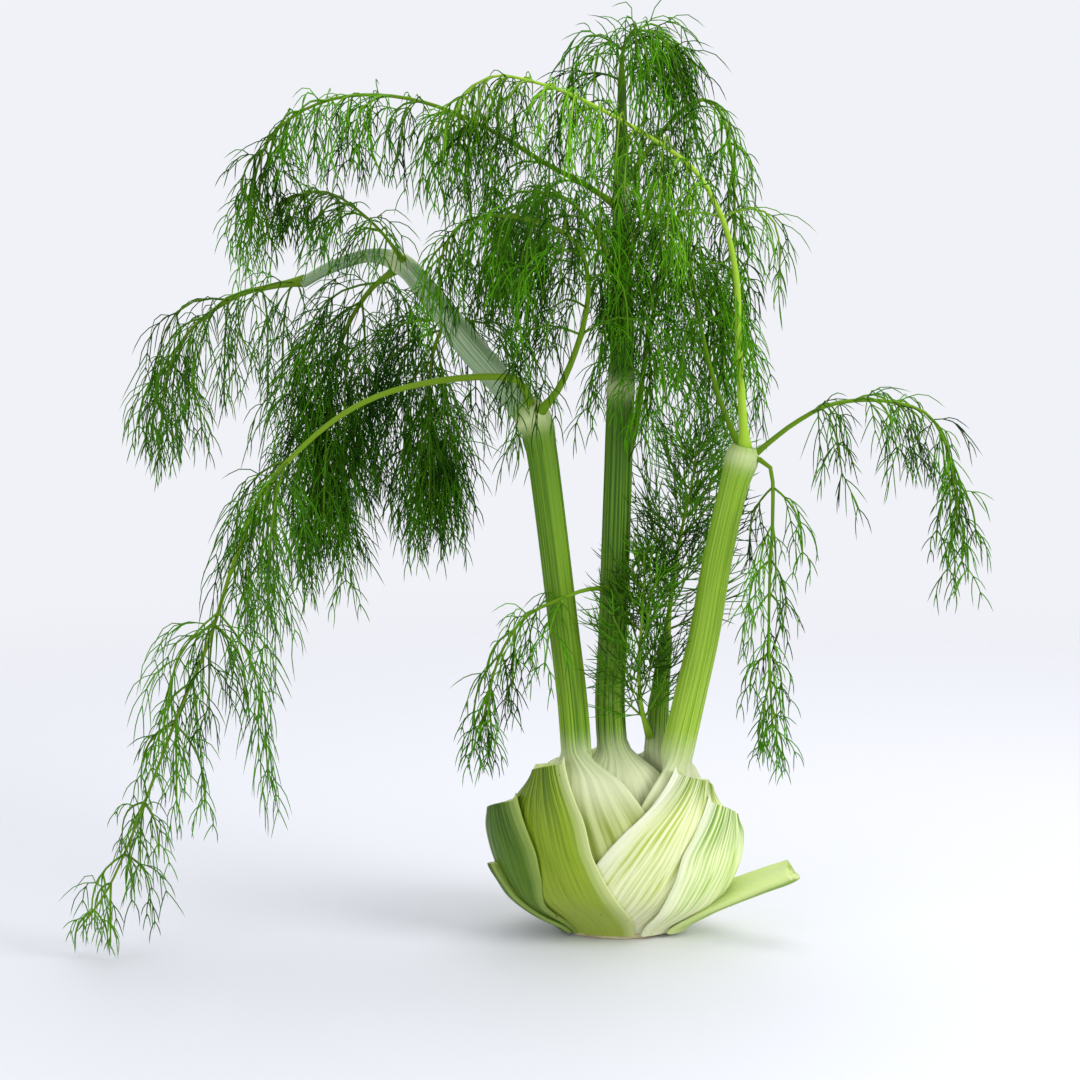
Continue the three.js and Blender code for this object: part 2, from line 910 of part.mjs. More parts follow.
// A frond's closed surface. Each twig grows out of a small triangle opened in one of its parent's faces,
// so that the whole frond is one body without any seam inside it.
class FrondSurface {
  constructor(owner) {
    this.owner = owner;
    this.points = [];
    this.faces = [];
  }

  // Adds rings from a first ring of point numbers up to a tip, and returns the faces beside each ring
  addRings(first, centres, radii, frameList) {
    const beside = [];
    let ring = first;
    const sides = first.length;
    for (let k = 1; k < centres.length; k++) {
      const last = k === centres.length - 1;
      const next = [];
      if (last) {
        next.push(...Array(sides).fill(this.points.length));
        this.points.push(centres[k].clone());
      } else {
        for (let i = 0; i < sides; i++) {
          const outward = around(frameList[k], (2 * Math.PI * i) / sides);
          next.push(this.points.length);
          this.points.push(centres[k].clone().addScaledVector(outward, radii[k]));
        }
      }
      beside.push([]);
      for (let i = 0; i < sides; i++) {
        const j = (i + 1) % sides;
        beside.at(-1).push(this.faces.length);
        this.faces.push([ring[i], ring[j], next[j]]);
        if (!last) {
          this.faces.push([ring[i], next[j], next[i]]);
        }
      }
      ring = next;
    }
    return beside;
  }

  addMidrib(centres, radii) {
    const frameList = frames(centres);
    const first = [0, 1, 2, 3];
    for (const i of first) {
      const outward = around(frameList[0], (Math.PI / 2) * i);
      this.points.push(centres[0].clone().addScaledVector(outward, radii[0]));
    }
    this.faces.push([0, 3, 1], [1, 3, 2]);
    return this.addRings(first, centres, radii, frameList);
  }

  // The small triangle that a twig grows out of, near the short side of a face
  footprint(face, radius) {
    const [a, b, c] = this.faces[face].map((index) => this.points[index]);
    const along = c.clone().sub(b);
    const length = along.length();
    along.normalize();
    const across = b.clone().sub(a);
    across.addScaledVector(along, -across.dot(along));
    const width = across.length();
    across.normalize();
    const share = Math.min(Math.max(0.12, 1.3 / length), 0.5);
    const half = Math.min(radius, 0.3 * width * (1 - share));
    const middle = a.clone().add(b).multiplyScalar((1 - share) / 2).addScaledVector(c, share);
    return {
      middle,
      outward: across.clone().cross(along),
      corners: [
        middle.clone().addScaledVector(across, -half).addScaledVector(along, -0.7 * half),
        middle.clone().addScaledVector(across, half).addScaledVector(along, -0.7 * half),
        middle.clone().addScaledVector(along, 1.4 * half),
      ],
    };
  }

  // Opens a face around the three new corners and returns their numbers
  open(face, { corners, outward }) {
    const outer = this.faces[face];
    const inner = corners.map((corner) => {
      this.points.push(corner);
      return this.points.length - 1;
    });
    this.faces[face] = null;
    const area = (triple) => {
      const [a, b, c] = triple.map((index) => this.points[index]);
      return b.clone().sub(a).cross(c.clone().sub(a)).dot(outward);
    };
    for (let i = 0; i < 3; i++) {
      const [a, b] = [outer[i], outer[(i + 1) % 3]];
      const [p, q] = [inner[i], inner[(i + 1) % 3]];
      const splits = [
        [[a, b, q], [a, q, p]],
        [[a, b, p], [b, q, p]],
      ];
      const worst = splits.map((pair) => Math.min(...pair.map(area)));
      this.faces.push(...splits[worst[0] > worst[1] ? 0 : 1]);
    }
    return inner;
  }

  // The direction of a twig's first corner that twists its sides least as they leave the footprint
  untwisted({ middle, corners }, away) {
    const across = corners[0].clone().sub(middle).projectOnPlane(away).normalize();
    const frame = { across, aside: away.clone().cross(across) };
    let cosine = 0;
    let sine = 0;
    corners.forEach((corner, i) => {
      const offset = corner.clone().sub(middle);
      const angle = Math.atan2(offset.dot(frame.aside), offset.dot(across)) - (2 * Math.PI * i) / 3;
      cosine += Math.cos(angle);
      sine += Math.sin(angle);
    });
    return around(frame, Math.atan2(sine, cosine));
  }

  // Grows a twig from a face if it keeps clear of everything else
  growTwig(face, host, heading, length, droop, radii) {
    if (!this.faces[face]) {
      return null;
    }
    const root = this.footprint(face, radii[0]);
    const lift = heading.dot(root.outward);
    const away = heading.clone().addScaledVector(root.outward, Math.max(0, 0.5 - lift)).normalize();
    const centres = twigPoints(root.middle, away, length, droop, radii.length - 1);
    const outside = centres.map((point) => point.clone());
    outside[0].addScaledVector(away, 1.4);
    const own = rodsAlong(this.owner, outside, radii);
    if (!isClear(own, host)) {
      return null;
    }
    rods.push(...own);
    const inner = this.open(face, root);
    const beside = this.addRings(inner, centres, radii, frames(centres, this.untwisted(root, away)));
    return { centres, beside, rods: own };
  }

  solid() {
    return new wasm.Manifold(
      new wasm.Mesh({
        numProp: 3,
        vertProperties: new Float32Array(this.points.flatMap((p) => [p.x, p.y, p.z])),
        triVerts: new Uint32Array(this.faces.filter((face) => face).flat()),
      }),
    );
  }
}

for (const [name, route] of Object.entries(STALK_ROUTES)) {
  const points = route.map(([x, y, z]) => new THREE.Vector3(x, y, z));
  rods.push(...rodsAlong(name, points, route.map((point) => point[3])));
}

// Every midrib is placed before any twig
const midribs = FRONDS.map((frond) => {
  const points = frond.route.map((point) => new THREE.Vector3(...point));
  const curve = new THREE.CatmullRomCurve3(points, false, "centripetal");
  const steps = Math.round(curve.getLength() / MIDRIB_STEP);
  const centres = curve.getSpacedPoints(steps);
  const radii = centres.map((_, k) => THREE.MathUtils.lerp(...frond.thick, (k / steps) ** 0.7));
  const own = rodsAlong(frond.name, centres, radii);
  rods.push(...own);
  return { centres, radii, rods: own };
});

// The share of the way along the midrib and the leaflet length of each joint
function jointsOf({ joints, firstJoint, leaflet }) {
  if (Array.isArray(joints)) {
    return joints;
  }
  return Array.from({ length: joints }, (_, joint) => {
    const done = joint / joints;
    return [firstJoint + (1 - firstJoint) * done, leaflet * (1 - 0.55 * done)];
  });
}

function frondSolid(frond, { centres, radii, rods: midribRods }, seed) {
  const random = seededRandom(seed);
  const spread = () => random() * 2 - 1;
  const surface = new FrondSurface(frond.name);
  const beside = surface.addMidrib(centres, radii);
  const last = beside.length - 1;
  for (const [joint, [share, size]] of jointsOf(frond).entries()) {
    const k = Math.min(Math.round(share * beside.length), last);
    const ahead = centres[k + 1].clone().sub(centres[k]).normalize();
    const lateral = new THREE.Vector3(-ahead.y, ahead.x, 0);
    if (Math.abs(ahead.z) > 0.8) {
      lateral.set(1, 0, 0);
    }
    lateral.normalize().applyAxisAngle(ahead, Math.abs(ahead.z) > 0.8 ? joint * 1.2 : 0.3 * spread());
    const onward = 0.55 + 1.2 * THREE.MathUtils.smoothstep(-ahead.z, 0.5, 0.95);
    for (const side of [-1, 1]) {
      let leaflet = null;
      for (let attempt = 0; attempt < 10 && !leaflet; attempt++) {
        const turned = lateral.clone().multiplyScalar(side).applyAxisAngle(ahead, -side * 0.35 * attempt);
        const heading = ahead.clone().multiplyScalar(onward).add(turned).normalize();
        const facing = beside[k].map((face) => {
          const free = surface.faces[face];
          return free ? surface.footprint(face, 0.6).outward.dot(heading) : -2;
        });
        const face = beside[k][facing.indexOf(Math.max(...facing))];
        const length = size * (0.85 + 0.3 * random()) * (1 - 0.05 * attempt);
        leaflet = surface.growTwig(face, midribRods[k], heading, length, frond.droop, [0.6, 0.8, 0.7, 0]);
      }
      if (!leaflet) {
        continue;
      }
      for (let n = 0; n < frond.needles; n++) {
        const segment = Math.min(Math.floor((3 * n) / frond.needles + 0.34), 2);
        const [from, to] = [leaflet.centres[segment], leaflet.centres[segment + 1]];
        const forward = to.clone().sub(from).normalize();
        let needle = null;
        for (let attempt = 0; attempt < 6 && !needle; attempt++) {
          const face = leaflet.beside[segment][(n + attempt + (side > 0 ? 1 : 0)) % 3];
          if (!surface.faces[face]) {
            continue;
          }
          const { outward } = surface.footprint(face, NEEDLE_RADIUS);
          const heading = forward.clone().addScaledVector(outward, 0.75).normalize();
          const length = Math.max((0.34 + 0.16 * random()) * size, 10);
          needle = surface.growTwig(face, leaflet.rods[segment], heading, length, 0, [NEEDLE_RADIUS, 0]);
        }
      }
    }
  }
  return surface.solid();
}

FRONDS.forEach((frond, index) => {
  const whole = frondSolid(frond, midribs[index], 101 + index);
  const root = stalk(frond.from, LAYER_GAP);
  pieces.set(frond.name, { solid: oneBody(whole.subtract(root)), colour: COLOURS.frond });
});

function meshOf(name, { solid, colour }) {
  const { vertProperties, triVerts } = solid.getMesh();
  const geometry = new THREE.BufferGeometry();
  geometry.setAttribute("position", new THREE.BufferAttribute(vertProperties, 3));
  geometry.setIndex(new THREE.BufferAttribute(triVerts, 1));
  geometry.computeVertexNormals();
  const material = new THREE.MeshStandardMaterial({ color: colour, roughness: 0.5, metalness: 0 });
  const mesh = new THREE.Mesh(geometry, material);
  mesh.name = name;
  return mesh;
}

const fennel = new THREE.Group();
for (const [name, piece] of pieces) {
  fennel.add(meshOf(name, piece));
}

export default fennel;
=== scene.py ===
"""A fennel bulb standing on its trimmed root plate, with stalks and feathery fronds.

Every leaf base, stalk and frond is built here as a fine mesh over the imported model, in the same frame:
+Z up, +X to the viewer's right, -Y towards the viewer, and the origin under the root plate. Tables are in
millimetres and degrees, and meshes are turned to metres when they are made.
"""

import math

import bpy
import numpy as np
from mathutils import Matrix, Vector


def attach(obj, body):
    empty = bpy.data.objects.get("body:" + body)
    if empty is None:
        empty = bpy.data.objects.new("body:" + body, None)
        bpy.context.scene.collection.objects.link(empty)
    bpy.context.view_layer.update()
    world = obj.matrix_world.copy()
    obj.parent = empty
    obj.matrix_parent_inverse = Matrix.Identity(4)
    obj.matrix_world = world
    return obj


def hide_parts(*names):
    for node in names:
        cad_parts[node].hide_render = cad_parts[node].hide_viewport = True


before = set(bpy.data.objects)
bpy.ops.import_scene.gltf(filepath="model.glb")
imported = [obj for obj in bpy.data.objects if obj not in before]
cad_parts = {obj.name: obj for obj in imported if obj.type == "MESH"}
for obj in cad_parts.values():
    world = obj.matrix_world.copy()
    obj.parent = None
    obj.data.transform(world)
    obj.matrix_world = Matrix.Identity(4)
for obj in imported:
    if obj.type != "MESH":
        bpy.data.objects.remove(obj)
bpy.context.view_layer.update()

bl_info = {
    "name": "Fennel bulb",
    "version": (1, 0, 0),
    "blender": (4, 5, 0),
    "location": "View3D > Sidebar > Fennel",
    "description": "Builds a fennel bulb with its leaf bases, stalks and fronds",
    "category": "Object",
}

MM = 0.001
# The bulb's depth as a share of its width
BULB_FLATNESS = 0.78
PLATE_RADIUS = 23.0
PLATE_HEIGHT = 24.0
MARGIN_THICKNESS = 1.4

# Leaf bases. Each list runs from the foot to the cut: the midrib's azimuth in degrees (270 faces the
# viewer), the outer face's distance from the bulb's axis, the half-widths in degrees on either side of
# the midrib and the thickness at the midrib. Bulge rounds the outer face out towards the cut, tuck draws
# a margin in, curl bends it up into a channel, slant raises the cut to one side and rake raises its inner
# edge. Look names the skin's colours; the mid and dark looks are painted shade on the leaves on the left,
# and the pale and bright looks are painted light on the leaves on the right.
LEAF_BASES = {
    "leaf_base_right_front": {
        "foot": 2, "top": 69,
        "rib": [285, 296, 306, 315, 323],
        "girth": [22, 41.5, 47, 46, 42],
        "left": [62, 56, 50, 39, 14],
        "right": [70, 58, 46, 34, 15],
        "thick": [5, 7, 8, 9, 9],
        "bulge": 3, "tuck": (4, 0), "slant": -4, "rake": 3, "look": "pale",
    },
    "leaf_base_back_right": {
        "foot": 2, "top": 64,
        "rib": [55, 55, 56, 57, 58],
        "girth": [22, 42, 47, 45, 40],
        "left": [70, 62, 52, 36, 15],
        "right": [70, 62, 52, 38, 20],
        "thick": [5, 7, 8, 9, 9],
        "bulge": 3, "tuck": (3, 3), "slant": 3, "rake": 0, "look": "pale",
    },
    "leaf_base_left_front": {
        "foot": 2, "top": 74.5,
        "rib": [236, 232, 227, 221, 217],
        "girth": [24.5, 44.5, 48, 46, 40.5],
        "left": [64, 52, 46, 32, 12],
        "right": [48, 36, 28, 26, 12],
        "thick": [5, 7, 8, 9, 9],
        "bulge": 3, "tuck": (0, 3), "slant": 2.5, "rake": 3, "look": "mid",
    },
    "leaf_base_back_left": {
        "foot": 2, "top": 68,
        "rib": [120, 122, 124, 125, 126],
        "girth": [23, 44, 50, 48, 42],
        "left": [74, 66, 54, 38, 24],
        "right": [74, 64, 52, 36, 15],
        "thick": [5, 7, 8, 9, 9],
        "bulge": 3, "tuck": (3, 3), "slant": -3, "rake": 3, "look": "mid",
    },
    "leaf_base_right": {
        "foot": 1.5, "top": 56,
        "rib": [318, 320, 324, 328, 333],
        "girth": [25, 43.5, 51, 52.5, 51],
        "left": [26, 27, 26, 25, 12],
        "right": [44, 48, 44, 34, 14],
        "thick": [4, 6, 8, 9, 9],
        "bulge": 2.5, "tuck": (2, 0), "slant": -5, "rake": 3, "look": "bright",
    },
    "leaf_base_left": {
        "foot": 1.5, "top": 57,
        "rib": [200, 200, 199, 198, 197],
        "girth": [25, 44, 52, 55, 55],
        "left": [54, 48, 42, 34, 13],
        "right": [23, 23, 27, 26, 13],
        "thick": [4, 6, 8, 9, 9],
        "bulge": 2.5, "tuck": (3, 3), "slant": 4, "rake": 3, "look": "dark",
    },
    "leaf_base_right_low": {
        "foot": 1.5, "top": 27,
        "rib": [338, 340, 342, 344, 346],
        "girth": [30, 39, 51, 64, 77],
        "left": [22, 17, 12, 8, 6],
        "right": [30, 28, 22, 13, 6],
        "thick": [3, 4.5, 5, 5.5, 6],
        "bulge": 1.5, "curl": (1, 6), "look": "green",
    },
    "leaf_base_left_low": {
        "foot": 1.5, "top": 31,
        "rib": [196, 195, 194, 193, 192],
        "girth": [27, 39, 48, 53, 57],
        "left": [20, 18, 15, 10, 6],
        "right": [22, 17, 12, 8, 6],
        "thick": [3, 4, 5, 5.5, 6],
        "curl": (2, 0), "slant": 1, "look": "dark",
    },
}

# Inner leaves, whose sheaths narrow into whole stalks. The route's points are x, y, z and radius. Joints
# are where fronds leave, with a pale collar. From the route's point that bloom_from numbers, the stalk
# wears grey wax that is partly a painted highlight. Look names the stalk's greens: painted light on the
# sunny stalk, painted shade on the shaded and deep ones.
STALKS = {
    "stalk_young": {
        "foot": 6, "top": 80,
        "rib": [80, 75, 60, 40, 20],
        "girth": [12, 27, 32, 28, 19],
        "left": [120, 110, 95, 80, 40],
        "right": [120, 110, 95, 80, 40],
        "thick": [5, 6, 7, 8, 9],
        "route": [
            (15, 4, 58, 4.8), (16, 4, 76, 5.2), (17, 6, 96, 4.2), (19, 9, 115, 3.2), (20, 9, 126, 2.6),
        ],
        "joints": [], "look": "deep", "bloom_from": None,
    },
    "stalk_right": {
        "foot": 5, "top": 80,
        "rib": [300, 310, 322, 332, 337],
        "girth": [13, 33, 38, 36, 31],
        "left": [70, 62, 56, 46, 30],
        "right": [70, 60, 52, 40, 24],
        "thick": [5, 6, 7, 8, 10],
        "route": [
            (22, -8, 58, 6.6), (23, -9, 73, 6.9), (29, -11, 102, 6.6), (35, -12, 130, 6.3),
            (40, -13, 161, 6.0), (46, -14, 190, 5.8), (49.5, -14, 203, 6.7), (51, -14, 209, 5.2),
        ],
        "joints": [(50, -14, 205)], "look": "sunny", "bloom_from": None,
    },
    "stalk_centre": {
        "foot": 4, "top": 84,
        "rib": [262, 262, 264, 266, 266],
        "girth": [14, 33, 37, 28, 10],
        "left": [70, 66, 62, 58, 42],
        "right": [74, 72, 66, 58, 46],
        "thick": [5, 6, 6, 7, 9],
        "route": [
            (-3, 0, 60, 6.0), (-3, 0, 78, 6.3), (-4, 0, 100, 6.2), (-3, 0, 125, 6.0), (-2, 0, 159, 5.9),
            (-1, 1, 193, 5.8), (0, 2, 227, 5.6), (1, 2, 256, 4.4), (0, 2, 285, 3.8), (0, 1, 318, 3.2),
            (0, 0, 342, 2.2), (0, -1, 358, 1.6),
        ],
        "joints": [(0, 2, 232), (0, 1, 310)], "look": "deep", "bloom_from": None,
    },
    "stalk_left": {
        "foot": 3, "top": 82,
        "rib": [236, 232, 226, 218, 211],
        "girth": [15, 36, 41, 36.5, 26],
        "left": [66, 62, 56, 44, 24],
        "right": [64, 68, 70, 62, 46],
        "thick": [5, 6, 7, 8, 10],
        "route": [
            (-18, -9, 58, 6.0), (-18, -9, 73, 6.3), (-20, -9, 101, 6.2), (-24, -9, 135, 6.1),
            (-29, -8, 177, 6.1), (-33, -7, 207, 6.3), (-36, -6, 219, 7.0), (-45, -2, 229, 5.6),
            (-63, 6, 249, 5.8), (-80, 14, 270, 4.8), (-91, 20, 282, 4.3), (-105, 25, 286, 2.9),
            (-122, 30, 281, 2.5), (-135, 34, 274, 2.2),
        ],
        "joints": [(-36, -6, 220), (-93, 21, 283)], "look": "shaded", "bloom_from": 7,
    },
}

# Fronds: the midrib's route and its radius at the root, the pairs of side leaflets along it, the share of
# the way where they start, the longest leaflet, how much they droop (1 hangs straight down) and the look
# that names their greens. The dark look is painted shade on the fronds at the back and left, and the sunny
# look is painted light on the arch at the right. Joints instead give each pair's share of the way and its
# length. Open, where it stands, spaces the side twigs that many times further apart.
FRONDS = {
    "frond_left_long": {
        "route": [
            (-37, -7, 222), (-41, -14, 235), (-50, -18, 238), (-66, -24, 238), (-82, -29, 236),
            (-98, -34, 232), (-114, -38, 224), (-130, -42, 211), (-144, -45, 195), (-156, -47, 168),
            (-168, -48, 132), (-179, -47, 107), (-189, -45, 82), (-200, -43, 54), (-212, -42, 28),
            (-226, -41, 9),
        ],
        "thick": 2.1,
        "joints": [
            (0.36, 104), (0.365, 84), (0.38, 66), (0.56, 76), (0.565, 62), (0.575, 50), (0.65, 36),
            (0.7, 50), (0.705, 42), (0.8, 42), (0.81, 34), (0.88, 34), (0.92, 28), (0.96, 24),
        ],
        "droop": 0.97, "open": 1.8, "look": "dark",
    },
    "frond_left_back": {
        "route": [
            (-134, 34, 275), (-150, 39, 272), (-164, 43, 268), (-182, 47, 256), (-193, 49, 241),
            (-197, 50, 226), (-198, 50, 212),
        ],
        "thick": 2.0,
        "joints": [
            (0.04, 84), (0.2, 80), (0.35, 70), (0.49, 60), (0.62, 50), (0.74, 40), (0.85, 32),
            (0.95, 26),
        ],
        "droop": 0.95, "open": 2.0, "look": "dark",
    },
    "frond_left_behind": {
        "route": [
            (-93, 22, 281), (-107, 35, 270), (-119, 42, 249), (-126, 44, 218), (-127, 44, 176),
        ],
        "thick": 1.8, "pairs": 11, "first": 0.12, "leaflet": 78, "droop": 0.82, "open": 0.85,
        "look": "dark",
    },
    "frond_left_knee": {
        "route": [
            (-66, 8, 252), (-72, 26, 258), (-79, 40, 246), (-82, 48, 222), (-80, 50, 190),
        ],
        "thick": 1.7, "pairs": 11, "first": 0.2, "leaflet": 70, "droop": 0.85, "open": 0.9, "look": "dark",
    },
    "frond_left_rising": {
        "route": [
            (-91, 17, 284), (-99, 4, 296), (-108, -2, 305), (-118, -4, 312), (-128, -4, 313),
            (-139, -3, 309),
        ],
        "thick": 1.1, "pairs": 8, "first": 0.3, "leaflet": 34, "droop": 0.7, "open": 1.3, "look": "dark",
    },
    "frond_centre_left": {
        "route": [
            (-35, -8, 221), (-25, -20, 235), (-17, -27, 256), (-14, -31, 275), (-17, -33, 290),
            (-25, -35, 298), (-36, -36, 302), (-48, -36, 304), (-60, -35, 303), (-70, -34, 295),
            (-76, -33, 278),
        ],
        "thick": 2.2, "pairs": 13, "first": 0.28, "leaflet": 60, "droop": 0.9, "open": 1.8, "look": "mid",
    },
    "frond_low_left": {
        "route": [
            (-3, -3, 148), (-14, -19, 150), (-25, -25, 147), (-38, -27, 141), (-47, -27, 130),
            (-53, -26, 115), (-58, -25, 92),
        ],
        "thick": 1.4, "pairs": 7, "first": 0.3, "leaflet": 40, "droop": 0.85, "open": 1.7, "look": "mid",
    },
    "frond_top_left": {
        "route": [
            (0, 0, 306), (-15, -12, 316), (-32, -18, 325), (-48, -22, 335), (-66, -25, 344),
            (-84, -27, 350), (-102, -27, 352), (-118, -26, 350), (-132, -24, 344), (-143, -23, 334),
            (-149, -22, 318), (-149, -21, 300),
        ],
        "thick": 1.8, "pairs": 15, "first": 0.12, "leaflet": 52, "droop": 0.92, "look": "mid",
    },
    "frond_top": {
        "route": [
            (0, -1, 356), (0, -2, 368), (3, -4, 377), (12, -7, 378), (22, -9, 370),
        ],
        "thick": 1.4, "pairs": 9, "first": 0.05, "leaflet": 56, "droop": 0.8, "open": 1.15, "look": "mid",
    },
    "frond_upper_right": {
        "route": [
            (0, 2, 314), (12, 10, 331), (25, 14, 346), (36, 16, 351), (43, 17, 343), (47, 17, 324),
            (48, 16, 297), (48, 15, 268),
        ],
        "thick": 1.8, "pairs": 13, "first": 0.12, "leaflet": 40, "droop": 0.97, "open": 1.6, "look": "mid",
    },
    "frond_mid_right": {
        "route": [
            (0, 4, 190), (7, 13, 215), (11, 18, 245), (17, 23, 272), (25, 27, 285), (35, 29, 281),
            (42, 29, 262), (45, 28, 236),
        ],
        "thick": 2.2, "pairs": 12, "first": 0.3, "leaflet": 58, "droop": 0.85, "open": 1.5, "look": "mid",
    },
    "frond_centre_back": {
        "route": [
            (0, 4, 270), (-8, 16, 292), (-20, 26, 308), (-34, 32, 312), (-46, 36, 300), (-52, 38, 278),
        ],
        "thick": 1.8, "pairs": 12, "first": 0.2, "leaflet": 58, "droop": 0.9, "open": 1.3, "look": "dark",
    },
    "frond_right_arch": {
        "route": [
            (51, -15, 206), (49, -20, 229), (47, -25, 254), (46, -29, 276), (42, -32, 296),
            (35, -35, 312), (26, -38, 324), (10, -42, 335), (-6, -45, 344), (-22, -47, 352),
            (-38, -48, 357), (-51, -48, 359), (-62, -47, 353), (-68, -46, 341),
        ],
        "thick": 2.6, "pairs": 15, "first": 0.42, "leaflet": 54, "droop": 0.93, "open": 1.3,
        "look": "sunny",
    },
    "frond_right_hang": {
        "route": [
            (51, -13, 202), (62, -17, 212), (72, -20, 220), (85, -22, 227), (101, -23, 229),
            (116, -23, 227), (126, -22, 222), (133, -21, 210), (137, -20, 192), (139, -20, 168),
        ],
        "thick": 1.6, "pairs": 8, "first": 0.25, "leaflet": 48, "droop": 0.85, "open": 1.5, "look": "mid",
    },
    "frond_right_down": {
        "route": [
            (52, -14, 204), (61, -20, 201), (62, -23, 180), (61, -24, 155), (61, -25, 128),
            (63, -25, 88),
        ],
        "thick": 1.2, "pairs": 9, "first": 0.16, "leaflet": 32, "droop": 0.95, "open": 1.5, "look": "mid",
    },
    "frond_right_inner": {
        "route": [
            (50, -12, 206), (42, -4, 225), (35, -6, 248), (30, -10, 272), (26, -13, 291),
            (19, -16, 302), (9, -18, 302), (1, -19, 290), (-3, -19, 268),
        ],
        "thick": 1.7, "pairs": 12, "first": 0.3, "leaflet": 50, "droop": 0.85, "look": "mid",
    },
    "frond_young": {
        "route": [
            (20, 9, 124), (23, 11, 149), (27, 12, 173), (31, 10, 193), (32, 6, 206),
        ],
        "thick": 1.6, "pairs": 12, "first": 0.05, "leaflet": 40, "droop": 0.05, "open": 0.55,
        "look": "young",
    },
    "frond_young_front": {
        "route": [
            (13, 0, 84), (9, -4, 98), (8, -9, 116), (9, -12, 138), (10, -12, 158),
        ],
        "thick": 1.5, "pairs": 10, "first": 0.12, "leaflet": 30, "droop": 0.0, "open": 0.55,
        "look": "young",
    },
}


def linear(code):
    """The linear red, green, blue and alpha of an sRGB hex colour."""
    channels = [int(code[i : i + 2], 16) / 255 for i in (0, 2, 4)]
    flat = [c / 12.92 if c <= 0.04045 else ((c + 0.055) / 1.055) ** 2.4 for c in channels]
    return (*flat, 1.0)


def add_node(tree, kind, settings=None, links=None):
    """Adds a node. A setting is one of its properties or input values.

    A link feeds an input from another node's output, or from its first output where a node is given.
    """
    node = tree.nodes.new(kind)
    for name, value in (settings or {}).items():
        if isinstance(name, int) or name in node.inputs:
            node.inputs[name].default_value = value
        else:
            setattr(node, name, value)
    for name, source in (links or {}).items():
        output = getattr(source, "outputs", [source])[0]
        tree.links.new(output, node.inputs[name])
    return node


def smoothstep(x, low, high):
    """How far x has come from low to high, from 0 to 1 and eased at both ends."""
    t = np.clip((np.asarray(x, float) - low) / (high - low), 0, 1)
    return t * t * (3 - 2 * t)


def between(values, share):
    """Smooth values at shares from 0 to 1 through an evenly spaced list."""
    values = np.asarray(values, float)
    last = len(values) - 1
    place = np.clip(share, 0, 1) * last
    start = np.minimum(np.floor(place).astype(int), last - 1)
    f = place - start
    a, b, c, d = (values[np.clip(start + i, 0, last)] for i in (-1, 0, 1, 2))
    return b + 0.5 * f * (c - a + f * (2 * a - 5 * b + 4 * c - d + f * (3 * (b - c) + d - a)))


def unit(vectors):
    """The directions of vectors, each of length 1."""
    return vectors / np.maximum(np.linalg.norm(vectors, axis=-1, keepdims=True), 1e-9)


def along_route(route, step):
    """Evenly spaced points on a smooth curve through a route, with any further columns carried along."""
    route = np.asarray(route, float)
    shares = np.linspace(0, 1, 30 * (len(route) - 1) + 1)
    fine = np.stack([between(column, shares) for column in route.T], axis=1)
    lengths = np.linalg.norm(np.diff(fine[:, :3], axis=0), axis=1)
    reached = np.concatenate([[0], np.cumsum(lengths)])
    count = max(int(round(reached[-1] / step)), 2)
    wanted = np.linspace(0, reached[-1], count + 1)
    return np.stack([np.interp(wanted, reached, column) for column in fine.T], axis=1)


def frames(points, start=None):
    """Directions along and square to many curves at once, carried along them without twisting."""
    ahead = np.empty_like(points)
    ahead[:, 1:-1] = points[:, 2:] - points[:, :-2]
    ahead[:, 0] = points[:, 1] - points[:, 0]
    ahead[:, -1] = points[:, -1] - points[:, -2]
    ahead = unit(ahead)
    across = np.empty_like(points)
    if start is None:
        upright = np.abs(ahead[:, 0, 2:]) > 0.9
        start = np.where(upright, [[1.0, 0, 0]], [[0, 0, 1.0]])
    side = np.broadcast_to(start, ahead[:, 0].shape)
    for k in range(points.shape[1]):
        side = unit(side - np.sum(side * ahead[:, k], axis=1, keepdims=True) * ahead[:, k])
        across[:, k] = side
    return ahead, across, np.cross(ahead, across)


def add_floats(mesh, floats):
    """Gives a mesh one float attribute for each entry, with a value for every vertex."""
    for key, values in floats.items():
        attribute = mesh.attributes.new(key, "FLOAT", "POINT")
        attribute.data.foreach_set("value", values.astype(np.float32))


def triangle_mesh(name, points, faces, floats):
    """A smooth mesh of triangles from arrays in millimetres, with one float attribute for each entry."""
    mesh = bpy.data.meshes.new(name)
    mesh.vertices.add(len(points))
    mesh.vertices.foreach_set("co", (points * MM).astype(np.float32).ravel())
    mesh.loops.add(3 * len(faces))
    mesh.loops.foreach_set("vertex_index", faces.astype(np.int32).ravel())
    mesh.polygons.add(len(faces))
    mesh.polygons.foreach_set("loop_start", np.arange(0, 3 * len(faces), 3, dtype=np.int32))
    mesh.update(calc_edges=True)
    add_floats(mesh, floats)
    mesh.shade_smooth()
    return mesh


def add_piece(name, mesh, node, materials):
    """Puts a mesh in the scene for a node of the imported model."""
    for material in materials:
        mesh.materials.append(material)
    piece = bpy.data.objects.new(name, mesh)
    bpy.context.scene.collection.objects.link(piece)
    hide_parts(node)
    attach(piece, "root")
    return piece


# Leaf bases and stalks
OUTER_STEPS = 56
INNER_STEPS = 40
ROW_STEPS = 52
SHEATH_STEPS = 40
STALK_STEP = 3.2
FLUTE_SPACING = 7.0
FLUTE_DEPTH = 0.22
RIB_COUNT = 22
# A rib's height as a share of the stalk's radius
RIB_DEPTH = 0.028
# How far a joint swells the stalk, and how far along it
JOINT_SWELL = 0.5
JOINT_REACH = 4.5
# The share of its height where a sheath starts to close into its stalk
SHEATH_END = 0.84


